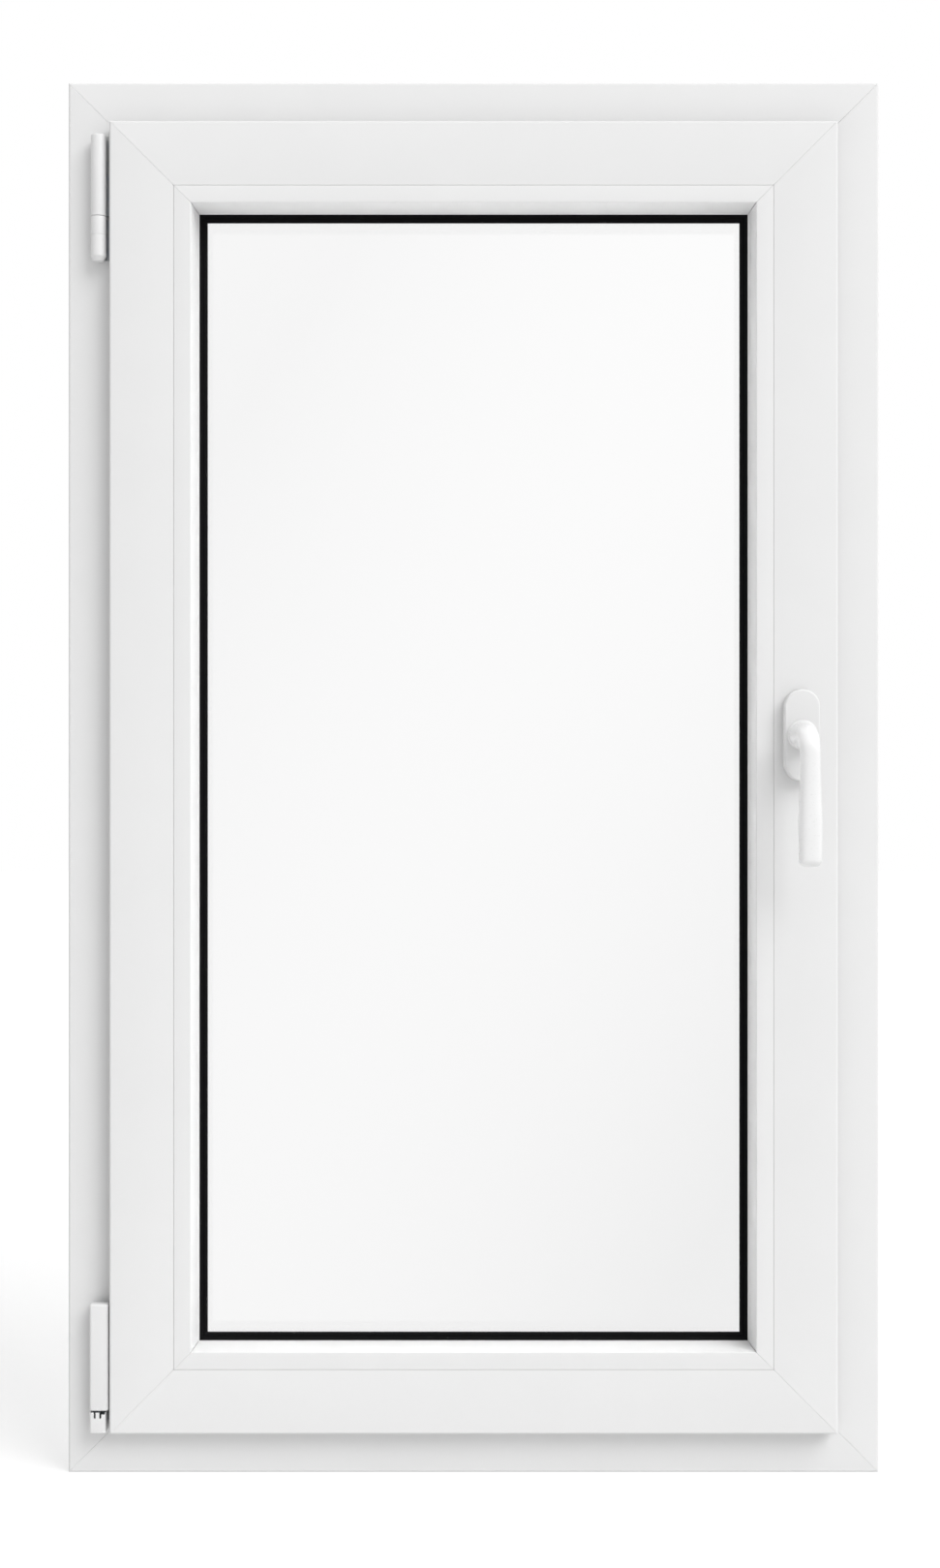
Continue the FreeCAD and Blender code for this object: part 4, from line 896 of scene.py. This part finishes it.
class WINDOW_OT_handle(bpy.types.Operator):
    """Lever handle and its cover"""

    bl_idname = "window.handle"
    bl_label = "Handle"
    bl_options = {"REGISTER", "UNDO"}

    def execute(self, context):
        """The lever rides with the handle, its cover with the sash."""
        sizes = context.scene.handle_settings
        x, z = handle_axis()
        sash_front = spans("sash_stile_lock_side")[0][1]
        lever = self.lever(sizes, x, sash_front, z)
        show(smooth(lever, 50), "handle", "white_lacquer", "handle_lever")
        cover = self.cover(sizes, x, z)
        show(smooth(cover, 35), "sash", "white_cover", "handle_cover")
        return {"FINISHED"}

    def lever(self, sizes, x, front, z):
        """The lever as rings of a superellipse along a bent path.

        A round stem comes out of the cover and widens to a flange with a half round rim. From there the
        path runs straight out, turns down through a quarter circle and drops. Half width and half
        thickness change smoothly along it between a few stations, and the end closes over a rounded
        shoulder.
        """
        bend, tip, rim, clear = 15 * MM, 6.4 * MM, 1.7 * MM, 0.3 * MM
        foot = front - spans("handle_cover")[0][1] + clear
        start = foot + rim
        drop = sizes.drop - bend
        quarter = bend * np.pi / 2
        out = sizes.reach - bend - start
        total = out + quarter + drop
        end = np.sin(np.linspace(0, np.pi / 2, 9))[1:]
        along = np.concatenate(
            [
                np.linspace(0, out, 16),
                np.linspace(out, out + quarter, 16)[1:],
                np.linspace(out + quarter, total - tip, 30)[1:],
                total - tip + tip * end,
            ]
        )
        closing = tip * (1 - np.sqrt(np.maximum(1 - end**2, 0)))
        shrink = np.concatenate([np.zeros(len(along) - len(end)), closing])
        angle = np.clip((along - out) / bend, 0, np.pi / 2)
        depth = start + np.minimum(along, out) + bend * np.sin(angle)
        height = -bend * (1 - np.cos(angle)) - np.maximum(along - out - quarter, 0)
        stations = np.array([0, 4 * MM, 10 * MM, out, out + quarter, 75 * MM, 98 * MM, 118 * MM, total])
        widths = np.array([11.9, 11.2, 10.2, 9.5, 8.6, 9.0, 10.3, 10.1, 9.6]) * MM
        depths = np.array([11.9, 11.2, 10.0, 8.6, 7.0, 6.8, 7.0, 6.6, 5.8]) * MM
        half_width = self.smoothed(along, stations, widths, shrink)
        thick = self.smoothed(along, stations, depths, shrink)
        blade_aside = 1.4 * MM
        aside = blade_aside * np.clip((along - out) / quarter, 0, 1)
        power = np.interp(along, [0, 14 * MM, 34 * MM, total], [2.0, 2.05, 2.3, 2.6])
        points = 72
        t = np.linspace(0, 2 * np.pi, points, endpoint=False)[None, :]
        flat = (2 / power)[:, None]
        across = np.sign(np.cos(t)) * np.abs(np.cos(t)) ** flat * half_width[:, None] + aside[:, None]
        through = np.sign(np.sin(t)) * np.abs(np.sin(t)) ** flat * thick[:, None]
        # through lies along the outer side of the bend: up at the neck, out to the room on the blade
        rings = np.stack(
            [
                x + across,
                front - (depth[:, None] + through * np.sin(angle)[:, None]),
                z + height[:, None] + through * np.cos(angle)[:, None],
            ],
            axis=-1,
        )
        lean = np.linspace(-np.pi / 2, np.pi / 2, 9)
        lip, into_cover = rim / 2, 1.9 * MM
        rim_radii = sizes.flange - lip + lip * np.cos(lean)
        rim_levels = foot + lip + lip * np.sin(lean)
        radius = np.concatenate([[sizes.stem, sizes.stem], rim_radii])[:, None]
        level = np.concatenate([[foot - into_cover, foot], rim_levels])[:, None]
        deep = np.broadcast_to(front - level, (len(level), points))
        collar = np.stack([x + radius * np.cos(t), deep, z + radius * np.sin(t)], axis=-1)
        return skin("lever", np.concatenate([collar, rings]))

    def smoothed(self, along, stations, sizes, shrink):
        """Half sizes along the path: straight between stations, then averaged over neighbouring rings."""
        reach, least = 3, 0.4 * MM
        kernel = np.ones(2 * reach + 1) / (2 * reach + 1)
        padded = np.pad(np.interp(along, stations, sizes), reach, "edge")
        return np.maximum(np.convolve(padded, kernel, "valid") - shrink, least)

    def cover(self, sizes, x, z):
        """A stadium shell with slightly sloping walls, a rounded rim and a round hole for the stem.

        Each ring has one point for each angle about the handle axis. The outer rings are stadiums, the
        inner ones circles, and the surface closes under the cover.
        """
        low, high = spans("handle_cover")
        radius = (high[0] - low[0]) / 2
        reach = (high[2] - low[2]) / 2 - radius
        base, deep = high[1], high[1] - low[1]
        angle = np.linspace(0, 2 * np.pi, 96, endpoint=False)

        def stadium(drawn_in):
            side = np.where(np.sin(angle) >= 0, reach, -reach)
            size = radius - drawn_in
            return np.stack([size * np.cos(angle), side + size * np.sin(angle)], axis=-1)

        def circle(size):
            return np.stack([size * np.cos(angle), size * np.sin(angle)], axis=-1)

        under, slope, fillet, wall = 0.6 * MM, 0.3 * MM, 1.6 * MM, 1.8 * MM
        face, bevel, step = 3.2 * MM, 0.2 * MM, 0.1 * MM
        hole = sizes.stem + 0.6 * MM
        levels = [(stadium(under), 0.0), (stadium(under), under), (stadium(0), under + step)]
        levels.append((stadium(slope), deep - fillet))
        for turn in np.linspace(0, np.pi / 2, 7)[1:]:
            drawn = slope + fillet * (1 - np.cos(turn))
            levels.append((stadium(drawn), deep - fillet + fillet * np.sin(turn)))
        levels.append((stadium(face) * 0.5 + circle(hole) * 0.5, deep))
        levels += [(circle(hole + bevel), deep), (circle(hole), deep - bevel)]
        levels += [(circle(hole), deep - wall), (stadium(wall), deep - wall)]
        levels.append((stadium(wall), 0.0))
        rings = [
            np.column_stack([x + flat[:, 0], np.full(len(flat), base - level), z + flat[:, 1]])
            for flat, level in levels
        ]
        return skin("handle_rose", rings, closed_rings=True)


class WINDOW_OT_drainage(bpy.types.Operator):
    """Hooded caps over the drainage slots"""

    bl_idname = "window.drainage"
    bl_label = "Drainage caps"
    bl_options = {"REGISTER", "UNDO"}

    def execute(self, context):
        """Each cap is a pillow shaped hood, open below."""
        width = 42 * MM
        low, high = spans("drainage_caps")
        for name, start in (("left", low[0]), ("right", high[0] - width)):
            piece = self.hood(f"drainage_hood_{name}", start, start + width, low, high)
            show(smooth(piece), "frame", "white_cover", "drainage_caps")
        return {"FINISHED"}

    def hood(self, name, left, right, low, high):
        """A rounded box whose outer edge is drawn in by a quarter circle, hollowed from below."""
        corner, fillet, side_wall, roof = 1.6 * MM, 1.5 * MM, 3 * MM, 1.5 * MM
        corners = [(left, low[2]), (right, low[2]), (right, high[2]), (left, high[2])]
        outline = turned_left(rounded(corners, corner, steps=6))
        turn = np.linspace(0, np.pi / 2, 6)
        insets = np.concatenate([[0.0], fillet * (1 - np.cos(turn))])
        depths = np.concatenate([[low[1]], high[1] - fillet * (1 - np.sin(turn))])
        rings = []
        for drawn, depth in zip(insets, depths):
            shape = inset(outline, drawn)
            rings.append(np.column_stack([shape[:, 0], np.full(len(shape), depth), shape[:, 1]]))
        start = (left + side_wall, low[1] - MM, low[2] - MM)
        end = (right - side_wall, high[1] - MM, high[2] - roof)
        return carve(skin(name, np.array(rings)[:, ::-1]), block("cutter", start, end))


class WINDOW_OT_hardware(bpy.types.Operator):
    """Finishes of the pieces whose shape comes from the design"""

    bl_idname = "window.hardware"
    bl_label = "Hardware finishes"
    bl_options = {"REGISTER", "UNDO"}

    def execute(self, context):
        """Each CAD node takes the finish of its own slot."""
        finish = finishes()
        for part in frame["record"]["subparts"]:
            node = frame["nodes"][part["node"]]
            node.data.materials.clear()
            node.data.materials.append(finish[part["material_slot"]])
        return {"FINISHED"}


class WINDOW_OT_studio(bpy.types.Operator):
    """Floor, light and camera"""

    bl_idname = "window.studio"
    bl_label = "Studio"
    bl_options = {"REGISTER", "UNDO"}

    def execute(self, context):
        """A pale floor, soft light all round, a wide key from the upper right, and the camera."""
        scene = context.scene
        self.floor(scene)
        self.lights(scene)
        self.camera(scene)
        scene.view_settings.view_transform = "Standard"
        return {"FINISHED"}

    def floor(self, scene):
        """A wide round slab at the frame's foot: rings of points, closed at the middle."""
        angle = np.linspace(0, 2 * np.pi, 64, endpoint=False)
        base, slab = frame_limits()[1], 0.02
        rings = [
            np.stack([size * np.cos(angle), size * np.sin(angle), np.full(len(angle), level)], axis=-1)
            for size, level in ((14.0, base - slab), (14.0, base), (6.0, base), (2.0, base), (0.5, base))
        ]
        piece = skin("studio_floor", rings)
        piece.visible_glossy = False
        piece.visible_transmission = False
        piece.data.materials.append(studio_floor(tuple(scene.finish_settings.floor)))

    def lights(self, scene):
        """A white sky behind the object and through the glass, softer for the light that it gives.

        A straight ray sees 1. A scattered one sees the sky setting, or the back setting once it has
        passed through glass. A mirrored one sees a bright band that fades away from a slanting plane,
        or a ceiling that brightens upwards, whichever is brighter.
        """
        band_normal, band_fall, band_level, band_rise = (-0.89, 0.0, 0.455), 15.0, 0.7, 0.6
        ceiling_level, ceiling_rise, least = 0.2, 1.4, 0.12
        world = bpy.data.worlds.new("Studio")
        scene.world = world
        world.use_nodes = True
        tree = world.node_tree
        ground = tree.nodes["Background"]
        ground.inputs["Color"].default_value = (1, 1, 1, 1)
        path = add_node(world, "ShaderNodeLightPath").outputs
        place = add_node(world, "ShaderNodeTexCoord").outputs["Generated"]
        height = add_node(world, "ShaderNodeSeparateXYZ", (), {0: place}).outputs["Z"]
        dot = {"operation": "DOT_PRODUCT", 1: band_normal}
        across = add_node(world, "ShaderNodeVectorMath", dot, {0: place}).outputs["Value"]
        squared = arithmetic(world, "POWER", {1: 2.0}, {0: across})
        slope = arithmetic(world, "MULTIPLY_ADD", {1: band_rise, 2: band_level}, {0: height})
        band = arithmetic(world, "MULTIPLY_ADD", {1: -band_fall}, {0: squared, 2: slope})
        ceiling = arithmetic(world, "MULTIPLY_ADD", {1: ceiling_rise, 2: ceiling_level}, {0: height})
        dimmest = arithmetic(world, "MAXIMUM", {1: least}, {0: ceiling})
        reflected = arithmetic(world, "MAXIMUM", {}, {0: band, 1: dimmest})
        mirrored = arithmetic(world, "GREATER_THAN", {1: 0.5}, {0: path["Glossy Depth"]})
        scattered = arithmetic(world, "GREATER_THAN", {1: 0.5}, {0: path["Diffuse Depth"]})
        studio = scene.studio_settings
        behind = blend(world, {2: studio.sky, 3: studio.back}, {0: path["Is Transmission Ray"]})
        straight = blend(world, {2: 1.0}, {0: mirrored, 3: reflected})
        strength = blend(world, {}, {0: scattered, 2: straight, 3: behind})
        tree.links.new(strength, ground.inputs["Strength"])
        key = bpy.data.lights.new("Key", "SUN")
        key.energy = studio.key
        key.angle = math.radians(studio.key_width)
        lamp = bpy.data.objects.new("Key", key)
        bpy.context.collection.objects.link(lamp)
        towards = Vector((0.48, -0.46, 0.6))
        lamp.rotation_mode = "QUATERNION"
        lamp.rotation_quaternion = towards.to_track_quat("Z", "Y")

    def camera(self, scene):
        """Square to the window, a little left of and below its middle."""
        aside, below = 3.1 * MM, 5.6 * MM
        lens = bpy.data.cameras.new("Camera")
        lens.sensor_width = 36
        lens.sensor_fit = "AUTO"
        lens.lens = scene.studio_settings.lens
        camera = bpy.data.objects.new("Camera", lens)
        bpy.context.collection.objects.link(camera)
        _, low, high = frame_limits()
        front = spans("frame_jamb_hinge_side")[0][1]
        distance = scene.studio_settings.distance
        camera.location = (-aside, front - distance, (low + high) / 2 - below)
        camera.rotation_euler = (math.radians(90), 0, 0)
        lens.clip_start, lens.clip_end = 0.05, 60
        scene.camera = camera


OPERATORS = (
    WINDOW_OT_frame_bars,
    WINDOW_OT_sash_bars,
    WINDOW_OT_glazing_beads,
    WINDOW_OT_seals,
    WINDOW_OT_hinges,
    WINDOW_OT_handle,
    WINDOW_OT_drainage,
    WINDOW_OT_hardware,
    WINDOW_OT_studio,
)


class VIEW3D_PT_window(bpy.types.Panel):
    """Buttons and settings of the window"""

    bl_label = "Window"
    bl_space_type = "VIEW_3D"
    bl_region_type = "UI"
    bl_category = "Window"

    def draw(self, context):
        """A button for each piece and a box for each group of settings."""
        for operator in OPERATORS:
            self.layout.operator(operator.bl_idname)
        for name, group in GROUPS:
            box = self.layout.box()
            for key in group.__annotations__:
                box.prop(getattr(context.scene, name), key)


def register():
    """Register the settings, the operators and the panel."""
    for name, group in GROUPS:
        bpy.utils.register_class(group)
        setattr(bpy.types.Scene, name, PointerProperty(type=group))
    for operator in OPERATORS:
        bpy.utils.register_class(operator)
    bpy.utils.register_class(VIEW3D_PT_window)


def unregister():
    """Take everything back in reverse order."""
    bpy.utils.unregister_class(VIEW3D_PT_window)
    for operator in reversed(OPERATORS):
        bpy.utils.unregister_class(operator)
    for name, group in reversed(GROUPS):
        delattr(bpy.types.Scene, name)
        bpy.utils.unregister_class(group)


def main():
    """Build everything in order."""
    register()
    for operator in OPERATORS:
        group, name = operator.bl_idname.split(".")
        getattr(getattr(bpy.ops, group), name)()


if __name__ == "__main__":
    main()
